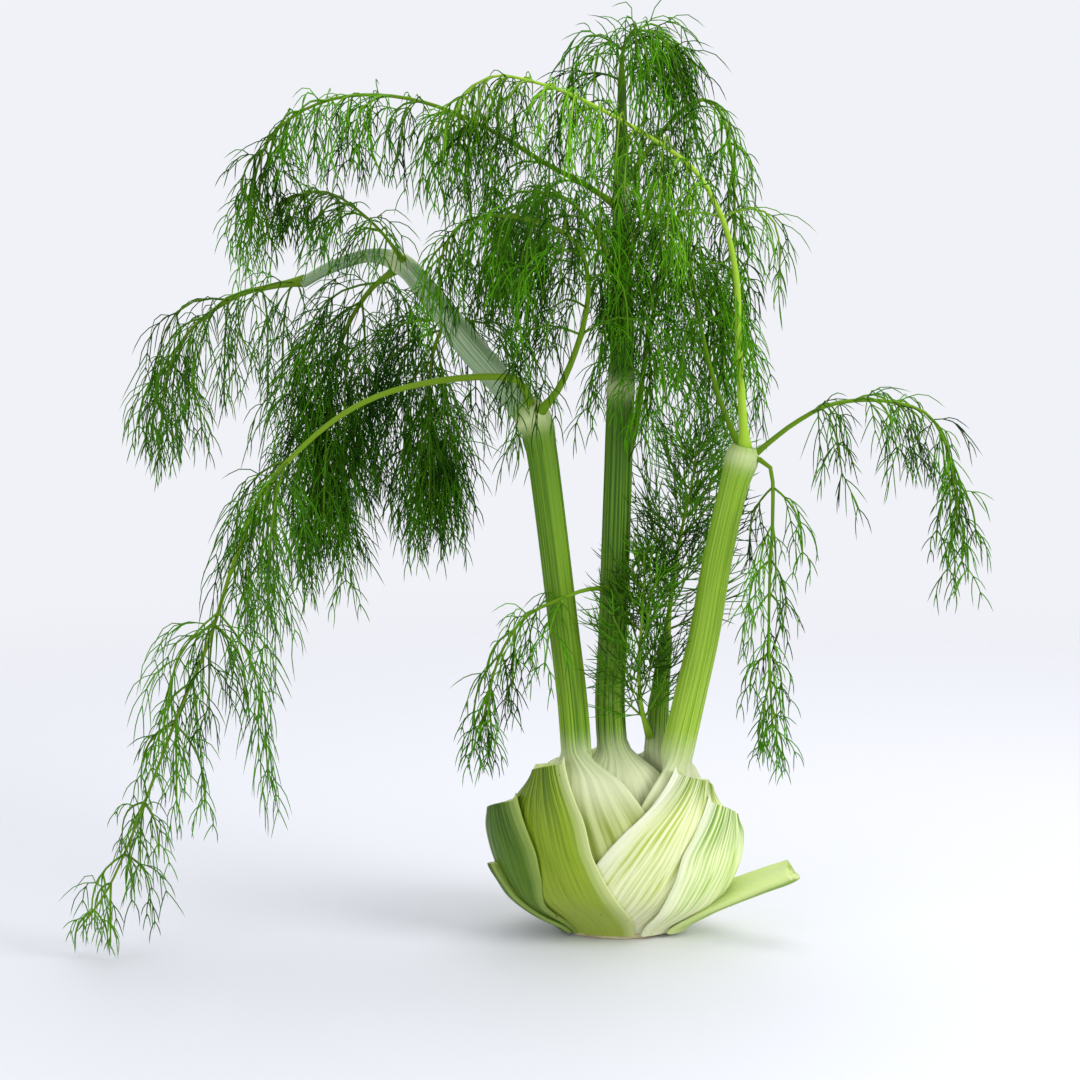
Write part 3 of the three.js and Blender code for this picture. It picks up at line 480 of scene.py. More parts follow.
def leaf_points(leaf, u, v, inward):
    """Points of a leaf: u from -1 at its left margin to 1, v from foot to cut, inward from 0 outside."""
    height = leaf["top"] - leaf["foot"]
    girth = between(leaf["girth"], v)
    step = 0.02
    run = between(leaf["girth"], v + step) - between(leaf["girth"], v - step)
    rise = np.hypot(run, 2 * step * height)
    lean, upright = run / rise, 2 * step * height / rise
    right = u > 0
    spread = np.where(right, between(leaf["right"], v), between(leaf["left"], v))
    tuck = np.where(right, *reversed(leaf.get("tuck", (0, 0))))
    curl = np.where(right, *reversed(leaf.get("curl", (0, 0))))
    inside = np.clip(np.abs(u), 0, 1)
    # The leaf is thickest at its midrib and thins to its margins
    middle = 1 - inside**2
    bulge = leaf.get("bulge", 0) * middle * smoothstep(v, 0.35, 1)
    body = MARGIN_THICKNESS + (between(leaf["thick"], v) - MARGIN_THICKNESS) * middle + bulge
    # Flutes run up the outer face, and fade at the foot and the margins
    flute = FLUTE_DEPTH * np.cos(u * leaf["half_width"] * 2 * math.pi / FLUTE_SPACING) * (1 - inside**4)
    depth = curl * inside**2 - bulge + inward * body - flute * (1 - inward) * smoothstep(v, 0.0, 0.3)
    edge = smoothstep(np.abs(u), 0.4, 1) * smoothstep(v, 0.15, 0.5)
    reach = np.maximum(girth - tuck * edge - depth * upright, 2)
    azimuth = np.radians(between(leaf["rib"], v) + u * spread)
    tilt = leaf.get("slant", 0) * u + leaf.get("rake", 0) * inward
    z = leaf["foot"] + height * v + depth * lean + smoothstep(v, 0.75, 1) * tilt
    return np.stack(
        [reach * np.cos(azimuth), BULB_FLATNESS * reach * np.sin(azimuth), z], axis=-1
    )


def leaf_ring(leaf, v, inset=0.0):
    """One closed ring round a leaf, with each point's place across it and how far inward it lies.

    Inset draws the ring in and down a little, for the rim and the face of the cut.
    """
    outer = np.linspace(-1, 1, OUTER_STEPS + 1) * (1 - 0.04 * inset)
    inner = np.linspace(1, -1, INNER_STEPS + 1) * (1 - 0.04 * inset)
    edge = 1.02 - 0.04 * inset
    u = np.concatenate([outer, [edge], inner, [-edge]])
    inward = np.concatenate(
        [
            np.full(len(outer), 0.1 * inset),
            [0.5],
            np.full(len(inner), 1 - 0.1 * inset),
            [0.5],
        ]
    )
    points = leaf_points(leaf, u, np.full(len(u), v), inward)
    points[:, 2] -= 0.5 * inset
    return points, u, inward


def ring_mesh(name, rings, cut_from=None):
    """A closed mesh through rings of points in millimetres.

    Each ring's places across and along the grain go to a UV map, and its other values become float
    attributes. From the ring that cut_from numbers, the faces wear the second material.
    """
    count = len(rings[0]["points"])
    points = np.concatenate([ring["points"] for ring in rings]) * MM
    values = {}
    for key in rings[0]:
        if key != "points":
            values[key] = np.concatenate([np.broadcast_to(ring[key], count) for ring in rings])
    faces = []
    for k in range(len(rings) - 1):
        for i in range(count):
            j = (i + 1) % count
            faces.append((k * count + i, k * count + j, (k + 1) * count + j, (k + 1) * count + i))
    faces.append(tuple(range(count - 1, -1, -1)))
    faces.append(tuple((len(rings) - 1) * count + i for i in range(count)))
    mesh = bpy.data.meshes.new(name)
    mesh.from_pydata(points.tolist(), [], faces)
    uv = mesh.uv_layers.new(name="Grain")
    corner = np.empty(len(mesh.loops), dtype=np.int32)
    mesh.loops.foreach_get("vertex_index", corner)
    flat = np.stack([values.pop("across"), values.pop("along")], axis=1)
    uv.data.foreach_set("uv", flat[corner].astype(np.float32).ravel())
    add_floats(mesh, values)
    mesh.shade_smooth()
    mesh.set_sharp_from_angle(angle=math.radians(50))
    if cut_from is not None:
        slots = np.zeros(len(mesh.polygons), dtype=np.int32)
        slots[cut_from * count : (len(rings) - 1) * count] = 1
        slots[-1] = 1
        mesh.polygons.foreach_set("material_index", slots)
    return mesh


def half_width(leaf):
    """Half of a leaf's width across its widest part, in millimetres."""
    widest = max(range(5), key=lambda i: leaf["girth"][i] * (leaf["left"][i] + leaf["right"][i]))
    angle = (leaf["left"][widest] + leaf["right"][widest]) / 2
    return math.radians(angle) * leaf["girth"][widest]


def leaf_base_mesh(name, leaf):
    """A cut leaf base: its skin, its margins and a cut face with a softened rim."""
    shares = [(k / ROW_STEPS, 0.0) for k in range(ROW_STEPS + 1)]
    # Three last rings round the rim over and lay out the cut face
    shares += [(1.0, 0.35), (1.0, 1.0), (1.0, 2.2)]
    rings = []
    height = leaf["top"] - leaf["foot"]
    for v, inset in shares:
        points, u, inward = leaf_ring(leaf, v, inset)
        across = u * leaf["half_width"]
        rings.append({"points": points, "across": across, "along": v * height, "inner_face": inward})
    return ring_mesh(name, rings, cut_from=ROW_STEPS + 1)


def stalk_mesh(name, leaf):
    """An inner leaf: a sheath of crescent rings that close into the round rings of its stalk."""
    height = leaf["top"] - leaf["foot"]
    route = along_route(leaf["route"], STALK_STEP)
    route = route[route[:, 2] > leaf["foot"] + SHEATH_END * height]
    centres = route[None, :, :3]
    _, side, up = frames(centres, np.array([[1.0, 0, 0]]))
    bloom_start = leaf["bloom_from"]
    bloom_point = None if bloom_start is None else np.array(leaf["route"][bloom_start][:3])
    rings = []
    for k in range(SHEATH_STEPS):
        v = SHEATH_END * k / SHEATH_STEPS
        points, u, inward = leaf_ring(leaf, v)
        rings.append(
            {
                "points": points,
                "across": u * leaf["half_width"],
                "along": v * height,
                "inner_face": inward,
                "collar": 0.0,
                "bloom_and_highlight": 0.0,
            }
        )
    travelled = SHEATH_END * height
    past_bloom = False
    for k, (x, y, z, radius) in enumerate(route):
        centre = np.array([x, y, z])
        if k:
            travelled += np.linalg.norm(centre - route[k - 1, :3])
        v = 2.0 if past_bloom else (z - leaf["foot"]) / height
        points, u, inward = leaf_ring(leaf, min(v, 1.0))
        # The outer face bends into one half of the round stalk and the inner face into the other
        turn = np.radians(between(leaf["rib"], 1.0) + np.where(inward < 0.5, 84 * u, 180 - 84 * u))
        turn = np.where(inward == 0.5, np.radians(leaf["rib"][-1] + 90 * np.sign(u)), turn)
        nearest = min(
            [np.linalg.norm(centre - np.array(joint)) for joint in leaf["joints"]], default=99
        )
        swell = math.exp(-((nearest / JOINT_REACH) ** 2))
        ribs = RIB_DEPTH * np.cos(RIB_COUNT * turn) * (1 - 0.6 * swell)
        size = radius * (1 + ribs) + JOINT_SWELL * swell
        outward = np.cos(turn)[:, None] * side[0, k] + np.sin(turn)[:, None] * up[0, k]
        circle = centre + size[:, None] * outward
        closed = smoothstep(v, SHEATH_END, 1.0)
        if bloom_point is not None and np.linalg.norm(centre - bloom_point) < 6:
            past_bloom = True
        rings.append(
            {
                "points": points * (1 - closed) + circle * closed,
                "across": u * leaf["half_width"],
                "along": travelled,
                "inner_face": inward * (1 - closed),
                "collar": swell,
                "bloom_and_highlight": float(past_bloom),
            }
        )
    return ring_mesh(name, rings)


def root_plate_mesh(name):
    """The trimmed root plate: a flat oval cut, a rounded rim and a low cone inside the leaves."""
    rim = PLATE_RADIUS
    profile = [
        (2, 0), (12, 0), (rim - 2.2, 0), (rim - 1.0, 0.25), (rim, 1.3), (rim - 1.2, 3.2), (rim - 4, 6),
        (rim - 12, 15), (3, PLATE_HEIGHT),
    ]
    count = 96
    turn = np.linspace(0, 2 * math.pi, count + 1)[:-1]
    # The knife leaves the plate's edge a little uneven
    rough = 1 + 0.012 * np.cos(5 * turn) + 0.008 * np.cos(13 * turn + 1)
    rings = []
    for radius, z in profile:
        x = radius * rough * np.cos(turn)
        y = BULB_FLATNESS * radius * rough * np.sin(turn)
        points = np.stack([x, y, np.full(count, float(z))], axis=1)
        rings.append({"points": points, "across": np.degrees(turn), "along": radius, "inner_face": 0.0})
    return ring_mesh(name, rings)


# Fronds
MIDRIB_STEP = 6.0
MIDRIB_TIP = 0.5
MOST_PAIRS = 12
DOWN = np.array([0, 0, -1.0])
# Twigs keep out of an oval of this reach about the bulb's axis, which is narrower above its shoulder
BULB_TOP = 84
BULB_REACH = 58
SHOULDER_HEIGHT = 60
SHOULDER_REACH = 46
FLOOR_GAP = 0.8


def bent_twigs(starts, headings, settled, lengths, steps):
    """Many twigs that set off in their headings and bend round to the direction that they settle in."""
    points = [starts]
    for k in range(1, steps + 1):
        bend = float(smoothstep((k - 0.5) / steps, -0.1, 0.85))
        heading = unit(headings * (1 - bend) + settled * bend)
        points.append(points[-1] + heading * (lengths / steps)[:, None])
    return np.stack(points, axis=1)


def side_twigs(parents, spacing, length_of, angle, droop, steps, random):
    """Evenly spaced pairs of twigs along every parent. They open at an angle, then swing back and hang."""
    last = parents.shape[1] - 1
    parent_length = np.linalg.norm(np.diff(parents, axis=1), axis=2).sum(axis=1)
    pairs = np.clip(np.round(parent_length / spacing), 2, MOST_PAIRS)
    starts, headings, settled, lengths, owner = [], [], [], [], []
    for pair in range(int(pairs.max())):
        rows = np.flatnonzero(pairs > pair)
        count = len(rows)
        share = (pair + 0.5) / pairs[rows] + 0.02 * random.uniform(-1, 1, count)
        place = np.clip(share, 0, 0.98) * last
        k = np.minimum(place.astype(int), last - 1)
        f = (place - k)[:, None]
        a, b = parents[rows, k], parents[rows, k + 1]
        ahead = unit(b - a)
        side = random.normal(size=(count, 3))
        side = unit(side - np.sum(side * ahead, axis=1, keepdims=True) * ahead)
        for way in (-1, 1):
            turn = angle * random.uniform(0.75, 1.3, (count, 1))
            away = unit(ahead * np.cos(turn) + way * side * np.sin(turn))
            back = unit(ahead + 0.35 * way * side)
            starts.append(a + (b - a) * f)
            headings.append(away)
            settled.append(unit(back * (1 - droop) + DOWN * droop + 0.12 * random.normal(size=(count, 3))))
            lengths.append(length_of(parent_length[rows], share) * random.uniform(0.7, 1.25, count))
            owner.append(rows)
    starts, headings, settled = (np.concatenate(part) for part in (starts, headings, settled))
    lengths, owner = np.concatenate(lengths), np.concatenate(owner)
    return bent_twigs(starts, headings, settled, lengths, steps), owner


def tubes(points, radii, sides):
    """Closed tubes along many curves at once, each narrowing to a point at its end."""
    count, steps = points.shape[0], points.shape[1] - 1
    _, across, aside = frames(points)
    turn = 2 * math.pi * np.arange(sides) / sides
    outward = (
        across[:, :-1, None, :] * np.cos(turn)[None, None, :, None]
        + aside[:, :-1, None, :] * np.sin(turn)[None, None, :, None]
    )
    ring = points[:, :-1, None, :] + outward * np.asarray(radii)[None, :-1, None, None]
    each = steps * sides + 1
    vertices = np.concatenate([ring.reshape(count, -1, 3), points[:, -1:]], axis=1)
    faces = []
    for k in range(steps - 1):
        for i in range(sides):
            j = (i + 1) % sides
            here, beside = k * sides + i, k * sides + j
            faces += [(here, beside, beside + sides), (here, beside + sides, here + sides)]
    for i in range(sides):
        faces.append(((steps - 1) * sides + i, (steps - 1) * sides + (i + 1) % sides, each - 1))
    for i in range(1, sides - 1):
        faces.append((0, i + 1, i))
    faces = np.array(faces)[None] + (each * np.arange(count))[:, None, None]
    return vertices.reshape(-1, 3), faces.reshape(-1, 3), each


def clear_of_bulb(points):
    """Which twigs stay outside the bulb and above the floor."""
    reach = np.hypot(points[..., 0], points[..., 1] / BULB_FLATNESS)
    z = points[..., 2]
    limit = np.where(z > SHOULDER_HEIGHT, SHOULDER_REACH, BULB_REACH)
    inside = (z < BULB_TOP) & (reach < limit)
    return ~(inside | (z < FLOOR_GAP)).any(axis=1)


def frond_joints(frond):
    """Each joint's share of the way along the midrib and its leaflets' length."""
    if "joints" in frond:
        return frond["joints"]
    # Joints stand closer towards the tip, where the leaflets are shorter too
    done = 1 - (1 - np.arange(frond["pairs"]) / frond["pairs"]) ** 1.35
    shares = frond["first"] + (0.99 - frond["first"]) * done
    return list(zip(shares, frond["leaflet"] * (1.08 - 0.62 * done)))


def frond_mesh(name, frond, settings, seed):
    """A frond: midrib, paired leaflets, their side twigs and the threads that fork from those."""
    random = np.random.default_rng(seed)
    midrib = along_route(frond["route"], MIDRIB_STEP)
    count = len(midrib) - 1
    shares = np.linspace(0, 1, count + 1)
    thick = frond["thick"]
    midrib_radii = 0.85 * (thick + (MIDRIB_TIP - thick) * shares**0.55)
    # Its first 7 mm flare where it leaves the stalk
    midrib_radii *= 1 + 0.6 * np.exp(-((shares * count * MIDRIB_STEP / 7) ** 2))
    starts, headings, settled, lengths = [], [], [], []
    droop = frond["droop"]
    for joint, (share, size) in enumerate(frond_joints(frond)):
        k = min(int(share * count), count - 1)
        f = share * count - k
        ahead = unit(midrib[k + 1] - midrib[k])
        lateral = np.array([-ahead[1], ahead[0], 0.0])
        # Where the midrib is nearly upright, its pairs turn about it instead
        if abs(ahead[2]) > 0.8:
            lateral = np.array([math.cos(1.2 * joint), math.sin(1.2 * joint), 0])
        lateral = unit(lateral)
        # Leaflets lie closer to the midrib where it hangs
        onward = 0.55 + 8.0 * (1 - droop) * float(smoothstep(-ahead[2], 0.5, 0.95))
        for side in (-1, 1):
            loose = 0.3 * random.uniform(-1, 1, 3) + np.array([0, 0, 0.15])
            starts.append(midrib[k] * (1 - f) + midrib[k + 1] * f)
            headings.append(unit(onward * ahead + side * lateral + loose))
            outward = unit(ahead + 0.45 * side * lateral)
            settled.append(unit(outward * (1 - droop) + DOWN * droop))
            lengths.append(size * random.uniform(0.75, 1.15))
    leaflets = bent_twigs(*(np.array(part) for part in (starts, headings, settled, lengths)), 8)
    leaflets = leaflets[clear_of_bulb(leaflets)]
    twigs, on_leaflet = side_twigs(
        leaflets,
        settings.twig_spacing / MM * frond.get("open", 1.0),
        lambda length, share: length * (0.36 - 0.2 * share) + 7,
        0.8,
        0.8 * droop,
        5,
        random,
    )
    keep = clear_of_bulb(twigs)
    twigs, on_leaflet = twigs[keep], on_leaflet[keep]
    threads, on_twig = side_twigs(
        twigs,
        settings.thread_spacing / MM,
        lambda length, share: np.clip(length * (0.85 - 0.3 * share), 9.0, 20.0),
        0.55,
        0.6 * droop,
        4,
        random,
    )
    keep = clear_of_bulb(threads)
    threads, on_twig = threads[keep], on_twig[keep]
    tone = random.uniform(0, 1, len(leaflets))
    thread = settings.thread_radius / MM
    # Each group's curves, radii, sides, tones and how far it has the stem's colour
    groups = [
        (midrib[None], midrib_radii, 10, np.array([0.5]), 1.0),
        (leaflets, np.linspace(2.0, 1.2, 9) * thread, 4, tone, 0.45),
        (twigs, np.linspace(1.25, 0.95, 6) * thread, 3, tone[on_leaflet], 0.12),
        (threads, np.array([1.0, 1.0, 0.95, 0.8, 0]) * thread, 3, tone[on_leaflet][on_twig], 0.0),
    ]
    vertices, faces, tones, stems = [], [], [], []
    base = 0
    for points, radii, sides, tone_of, stem in groups:
        v, f, each = tubes(points, radii, sides)
        vertices.append(v)
        faces.append(f + base)
        base += len(v)
        wobble = 0.25 * random.uniform(-1, 1, len(tone_of))
        tones.append(np.repeat(np.clip(tone_of + wobble, 0, 1), each))
        stems.append(np.full(len(v), stem))
    floats = {"tone": np.concatenate(tones), "stem": np.concatenate(stems)}
    return triangle_mesh(name, np.concatenate(vertices), np.concatenate(faces), floats)


# Materials
# Lit and shaded copies of one skin: mid and dark are painted shade for the leaves on the shaded left, pale
# and bright are painted light for the leaves lit from the right
SKIN_LOOKS = {
    "pale": {
        "ground": "E8EDBE", "vein": "A6BC2E", "stub": "6F8F1C", "foot": "EDEBCC", "margin": "F0F2DA",
        "green_from": 0.76,
    },
    "mid": {
        "ground": "8CA428", "vein": "6E8718", "stub": "4A6810", "foot": "A0AE4C", "margin": "D0D99C",
        "green_from": 0.55,
    },
    "bright": {
        "ground": "E8F0BA", "vein": "86B416", "stub": "568416", "foot": "EDEDC8", "margin": "ECF0D2",
        "green_from": 0.58,
    },
    "green": {
        "ground": "B4C96C", "vein": "7FA52C", "stub": "6F962A", "foot": "CCDA92", "margin": "CBDB92",
        "green_from": 0.5,
    },
    "dark": {
        "ground": "587A1A", "vein": "3A5E10", "stub": "345010", "foot": "647A2C", "margin": "9AB058",
        "green_from": 0.5,
    },
}
# Lit and shaded copies of one stalk green: sunny is painted light on the stalk at the right, shaded and
# deep are painted shade on the stalk at the left and on those in the middle under the fronds
STALK_LOOKS = {
    "sunny": {"dark": "74A01E", "light": "B0D04C"},
    "shaded": {"dark": "46700C", "light": "86AC28"},
    "deep": {"dark": "285806", "light": "84A82C"},
}
# The dark look is painted shade on the fronds at the back and left; the sunny look is painted light on the
# arch at the right
THREAD_LOOKS = {
    "dark": {"deep": "0E3604", "light": "56961A", "stem": "6A8A1E"},
    "mid": {"deep": "082202", "light": "569C10", "stem": "648A1C"},
    "sunny": {"deep": "0C2E02", "light": "6CB41A", "stem": "9CC23A"},
    "young": {"deep": "0E3002", "light": "5CA018", "stem": "86AE30"},
}
SMOOTH = {"interpolation_type": "SMOOTHSTEP"}
# At this scale a wave texture makes one band to each unit of its vector
ONE_BAND = 0.314


def new_material(name, surface):
    """A material with these values on its shader's inputs, and its node tree and shader."""
    material = bpy.data.materials.new(name)
    material.use_nodes = True
    shader = material.node_tree.nodes["Principled BSDF"]
    for key, value in surface.items():
        shader.inputs[key].default_value = value
    return material, material.node_tree, shader


def lay_over(tree, ground, layers):
    """Lays colours over a ground in turn, each as far as its mask goes from 0 to 1."""
    for mask, colour in layers:
        colours = {6: ground, 7: colour}
        fixed = {key: value for key, value in colours.items() if isinstance(value, tuple)}
        linked = {key: value for key, value in colours.items() if key not in fixed}
        settings = {"data_type": "RGBA", **fixed}
        ground = add_node(tree, "ShaderNodeMix", settings, {0: mask, **linked}).outputs[2]
    return ground


def finish_surface(tree, shader, colour, height, strength, distance):
    """Gives the shader its colour and a relief raised by a height texture."""
    tree.links.new(colour, shader.inputs["Base Color"])
    bump = add_node(
        tree, "ShaderNodeBump", {"Strength": strength, "Distance": distance}, {"Height": height}
    )
    tree.links.new(bump.outputs[0], shader.inputs["Normal"])


def leaf_skin(name, leaf, settings):
    """Fresh waxy leaf-base skin, grown pale under its neighbours and green towards the cut.

    Fine veins and fibres run its whole length, which gives the eye a soft satin sheen with a
    combed grain, and light shows through its thin white margins.
    """
    # The look paints this leaf's side of the bulb lighter or darker: painted light on the right, painted
    # shade on the left
    look = SKIN_LOOKS[leaf["look"]]
    width = leaf["half_width"]
    height = leaf["top"] - leaf["foot"]
    surface = {
        "Roughness": 0.42,
        "Specular IOR Level": 0.2,
        "Subsurface Weight": 0.18,
        "Subsurface Radius": (1.0, 0.95, 0.45),
        "Subsurface Scale": 0.004,
    }
    material, tree, shader = new_material(name, surface)
    grain = add_node(tree, "ShaderNodeUVMap", {"uv_map": "Grain"})
    across, along, _ = add_node(tree, "ShaderNodeSeparateXYZ", links={0: grain}).outputs
    # How far each pattern's marks reach across and along the grain, in millimetres. Veins run
    # lengthwise, and close up towards the stub. The brown specks are few.
    reaches = {
        "veins": (settings.vein_spacing / MM, 90),
        "fibres": (1.3, 40),
        "patches": (9, 30),
        "specks": (11, 11),
    }
    vectors = {}
    for pattern, (wide, long) in reaches.items():
        scale = {"Scale": (1 / wide, 1 / long, 1)}
        vectors[pattern] = add_node(tree, "ShaderNodeMapping", scale, {"Vector": grain})
    lines = add_node(
        tree,
        "ShaderNodeTexWave",
        {"bands_direction": "X", "Scale": ONE_BAND, "Distortion": 2.2, "Detail": 2.0, "Detail Scale": 0.8},
        {"Vector": vectors["veins"]},
    ).outputs["Fac"]
    fibres = add_node(
        tree,
        "ShaderNodeTexNoise",
        {"Scale": 1.0, "Detail": 3.0, "Roughness": 0.6},
        {"Vector": vectors["fibres"]},
    )
    patches = add_node(
        tree, "ShaderNodeTexNoise", {"Scale": 1.0, "Detail": 2.0}, {"Vector": vectors["patches"]}
    )
    specks = add_node(
        tree, "ShaderNodeTexVoronoi", {"Scale": 1.0}, {"Vector": vectors["specks"]}
    ).outputs["Distance"]
    # Veins show in patches, between fibres that show everywhere
    patchy = add_node(
        tree, "ShaderNodeMapRange", {"From Min": 0.35, "From Max": 0.65, **SMOOTH}, {0: patches}
    )
    strong = add_node(tree, "ShaderNodeMath", {"operation": "POWER", 1: 1.6}, {0: lines})
    veins = add_node(tree, "ShaderNodeMath", {"operation": "MULTIPLY"}, {0: strong, 1: patchy})
    faint = add_node(
        tree, "ShaderNodeMapRange", {"From Min": 0.44, "From Max": 0.66, "To Max": 0.75}, {0: fibres}
    )
    green = add_node(tree, "ShaderNodeMath", {"operation": "MAXIMUM"}, {0: veins, 1: faint})
    # The skin is greenest in streaks just under the cut
    near_cut = add_node(
        tree,
        "ShaderNodeMapRange",
        {"From Min": height * look["green_from"], "From Max": height, **SMOOTH},
        {0: along},
    )
    streaks = add_node(
        tree, "ShaderNodeMapRange", {"From Min": 0.45, "From Max": 0.55, "To Min": 0.15}, {0: fibres}
    )
    stub = add_node(tree, "ShaderNodeMath", {"operation": "MULTIPLY"}, {0: near_cut, 1: streaks})
    # The foot, the thin margins and the inner face are nearly white
    foot = add_node(
        tree,
        "ShaderNodeMapRange",
        {"From Max": height * 0.5, "To Min": 0.7, "To Max": 0.0, **SMOOTH},
        {0: along},
    )
    off_middle = add_node(tree, "ShaderNodeMath", {"operation": "ABSOLUTE"}, {0: across})
    margin = add_node(
        tree,
        "ShaderNodeMapRange",
        {"From Min": width * 0.72, "From Max": width, "To Max": 0.65, **SMOOTH},
        {0: off_middle},
    )
    inner = add_node(tree, "ShaderNodeAttribute", {"attribute_name": "inner_face"}).outputs["Fac"]
    speck = add_node(
        tree,
        "ShaderNodeMapRange",
        {"From Min": 0.03, "From Max": 0.05, "To Min": 0.8, "To Max": 0.0},
        {0: specks},
    )
    layers = [
        (green, linear(look["vein"])),
        (stub, linear(look["stub"])),
        (foot, linear(look["foot"])),
        (margin, linear(look["margin"])),
        (inner, linear(look["margin"])),
        (speck, linear("6E4A22")),
    ]
    colour = lay_over(tree, linear(look["ground"]), layers)
    relief = add_node(
        tree, "ShaderNodeMath", {"operation": "MULTIPLY_ADD", 1: 0.5}, {0: fibres, 2: lines}
    )
    finish_surface(tree, shader, colour, relief, 0.45, 0.00025)
    return material


def cut_flesh(settings):
    """Moist flesh cut clean with a knife: wet and pale, with darker dots where the leaf's strings end."""
    surface = {
        "Roughness": 0.35,
        "Subsurface Weight": 0.25,
        "Subsurface Radius": (1.0, 0.95, 0.45),
        "Subsurface Scale": 0.004,
    }
    material, tree, shader = new_material("fennel_cut_flesh", surface)
    place = add_node(tree, "ShaderNodeTexCoord").outputs["Object"]
    # The mottle's patches are about 4 mm wide, and string ends stand about 1.6 mm apart
    mottle = add_node(tree, "ShaderNodeTexNoise", {"Scale": 260.0, "Detail": 3.0}, {"Vector": place})
    strings = add_node(tree, "ShaderNodeTexVoronoi", {"Scale": 620.0}, {"Vector": place})
    dots = add_node(
        tree,
        "ShaderNodeMapRange",
        {"From Min": 0.16, "From Max": 0.34, "To Min": 0.75, "To Max": 0.0},
        {0: strings.outputs["Distance"]},
    )
    layers = [(mottle, linear("A9BE5A")), (dots, linear("7D9A35"))]
    colour = lay_over(tree, tuple(settings.cut_colour), layers)
    finish_surface(tree, shader, colour, mottle, 0.5, 0.0003)
    return material


def stalk_skin(name, leaf, settings):
    """Ribbed skin of a stalk: satin, with fine light and dark green stripes along it.

    It whitens down into the sheath, and its light stripes fade upward in a painted shade from the fronds.
    Past the stalk's bloom_from point, grey wax that is partly a painted highlight dulls the green.
    """
    # The look paints this stalk lighter or darker: painted light for the sunny one, painted shade for the
    # others
    look = STALK_LOOKS[leaf["look"]]
    surface = {
        "Roughness": 0.4,
        "Specular IOR Level": 0.2,
        "Subsurface Weight": 0.12,
        "Subsurface Radius": (0.8, 1.0, 0.4),
        "Subsurface Scale": 0.003,
    }
    material, tree, shader = new_material(name, surface)
    grain = add_node(tree, "ShaderNodeUVMap", {"uv_map": "Grain"})
    # Eleven stripes to a half turn, so about 1.7 mm apart on the stalk
    striped = add_node(
        tree, "ShaderNodeMapping", {"Scale": (11 / leaf["half_width"], 1 / 120, 1)}, {"Vector": grain}
    )
    stripes = add_node(
        tree, "ShaderNodeTexNoise", {"Scale": 1.0, "Detail": 3.0, "Roughness": 0.55}, {"Vector": striped}
    )
    stripe = add_node(
        tree, "ShaderNodeMapRange", {"From Min": 0.38, "From Max": 0.62, **SMOOTH}, {0: stripes}
    )
    place = add_node(tree, "ShaderNodeTexCoord").outputs["Object"]
    height = add_node(tree, "ShaderNodeSeparateXYZ", links={0: place}).outputs["Z"]
    # The light stripes fade up the stalk, by its height above the floor: painted shade from the fronds
    # above
    frond_shade = add_node(
        tree,
        "ShaderNodeMapRange",
        {"From Min": 90 * MM, "From Max": 200 * MM, "To Min": 1.0, "To Max": 0.35},
        {0: height},
    )
    light = add_node(tree, "ShaderNodeMath", {"operation": "MULTIPLY"}, {0: stripe, 1: frond_shade})
    green = lay_over(tree, linear(look["dark"]), [(light, linear(look["light"]))])
    # Past the bloom_from point the stalk turns a paler grey-green: wax, partly a painted highlight
    waxy = lay_over(tree, linear("6F8F5F"), [(stripe, linear("A9BC9A"))])
    # The sheath whitens where it narrows into the stalk, and the green begins above that
    whitening = add_node(
        tree,
        "ShaderNodeMapRange",
        {"From Min": 50 * MM, "From Max": 70 * MM, "To Max": 0.6, **SMOOTH},
        {0: height},
    )
    rising = add_node(
        tree, "ShaderNodeMapRange", {"From Min": 68 * MM, "From Max": 92 * MM, **SMOOTH}, {0: height}
    )
    bloom_and_highlight = add_node(tree, "ShaderNodeAttribute", {"attribute_name": "bloom_and_highlight"}).outputs["Fac"]
    collar = add_node(tree, "ShaderNodeAttribute", {"attribute_name": "collar"}).outputs["Fac"]
    collar = add_node(tree, "ShaderNodeMath", {"operation": "MULTIPLY", 1: 0.8}, {0: collar})
    layers = [
        (stripe, tuple(settings.sheath_light)),
        (whitening, linear("E9EDCB")),
        (rising, green),
        (bloom_and_highlight, waxy),
        (collar, linear("C9D59B")),
    ]
    colour = lay_over(tree, tuple(settings.sheath_dark), layers)
    finish_surface(tree, shader, colour, stripes, 0.6, 0.0003)
    return material


def root_cut():
    """The trimmed root plate: dry cream tissue, matt and rough, with growth rings."""
    material, tree, shader = new_material("fennel_root_cut", {"Roughness": 0.65})
    place = add_node(tree, "ShaderNodeTexCoord").outputs["Object"]
    # The rings stand about 3.5 mm apart, and the mottle breaks them up
    rings = add_node(
        tree,
        "ShaderNodeTexWave",
        {
            "wave_type": "RINGS",
            "rings_direction": "Z",
            "Scale": 90.0,
            "Distortion": 3.0,
            "Detail": 3.0,
        },
        {"Vector": place},
    ).outputs["Fac"]
    mottle = add_node(tree, "ShaderNodeTexNoise", {"Scale": 180.0, "Detail": 4.0}, {"Vector": place})
    blend = add_node(tree, "ShaderNodeMath", {"operation": "MULTIPLY"}, {0: rings, 1: mottle})
    colour = lay_over(tree, linear("E2DBB0"), [(blend, linear("A98F58"))])
    finish_surface(tree, shader, colour, blend, 0.6, 0.0004)
    return material


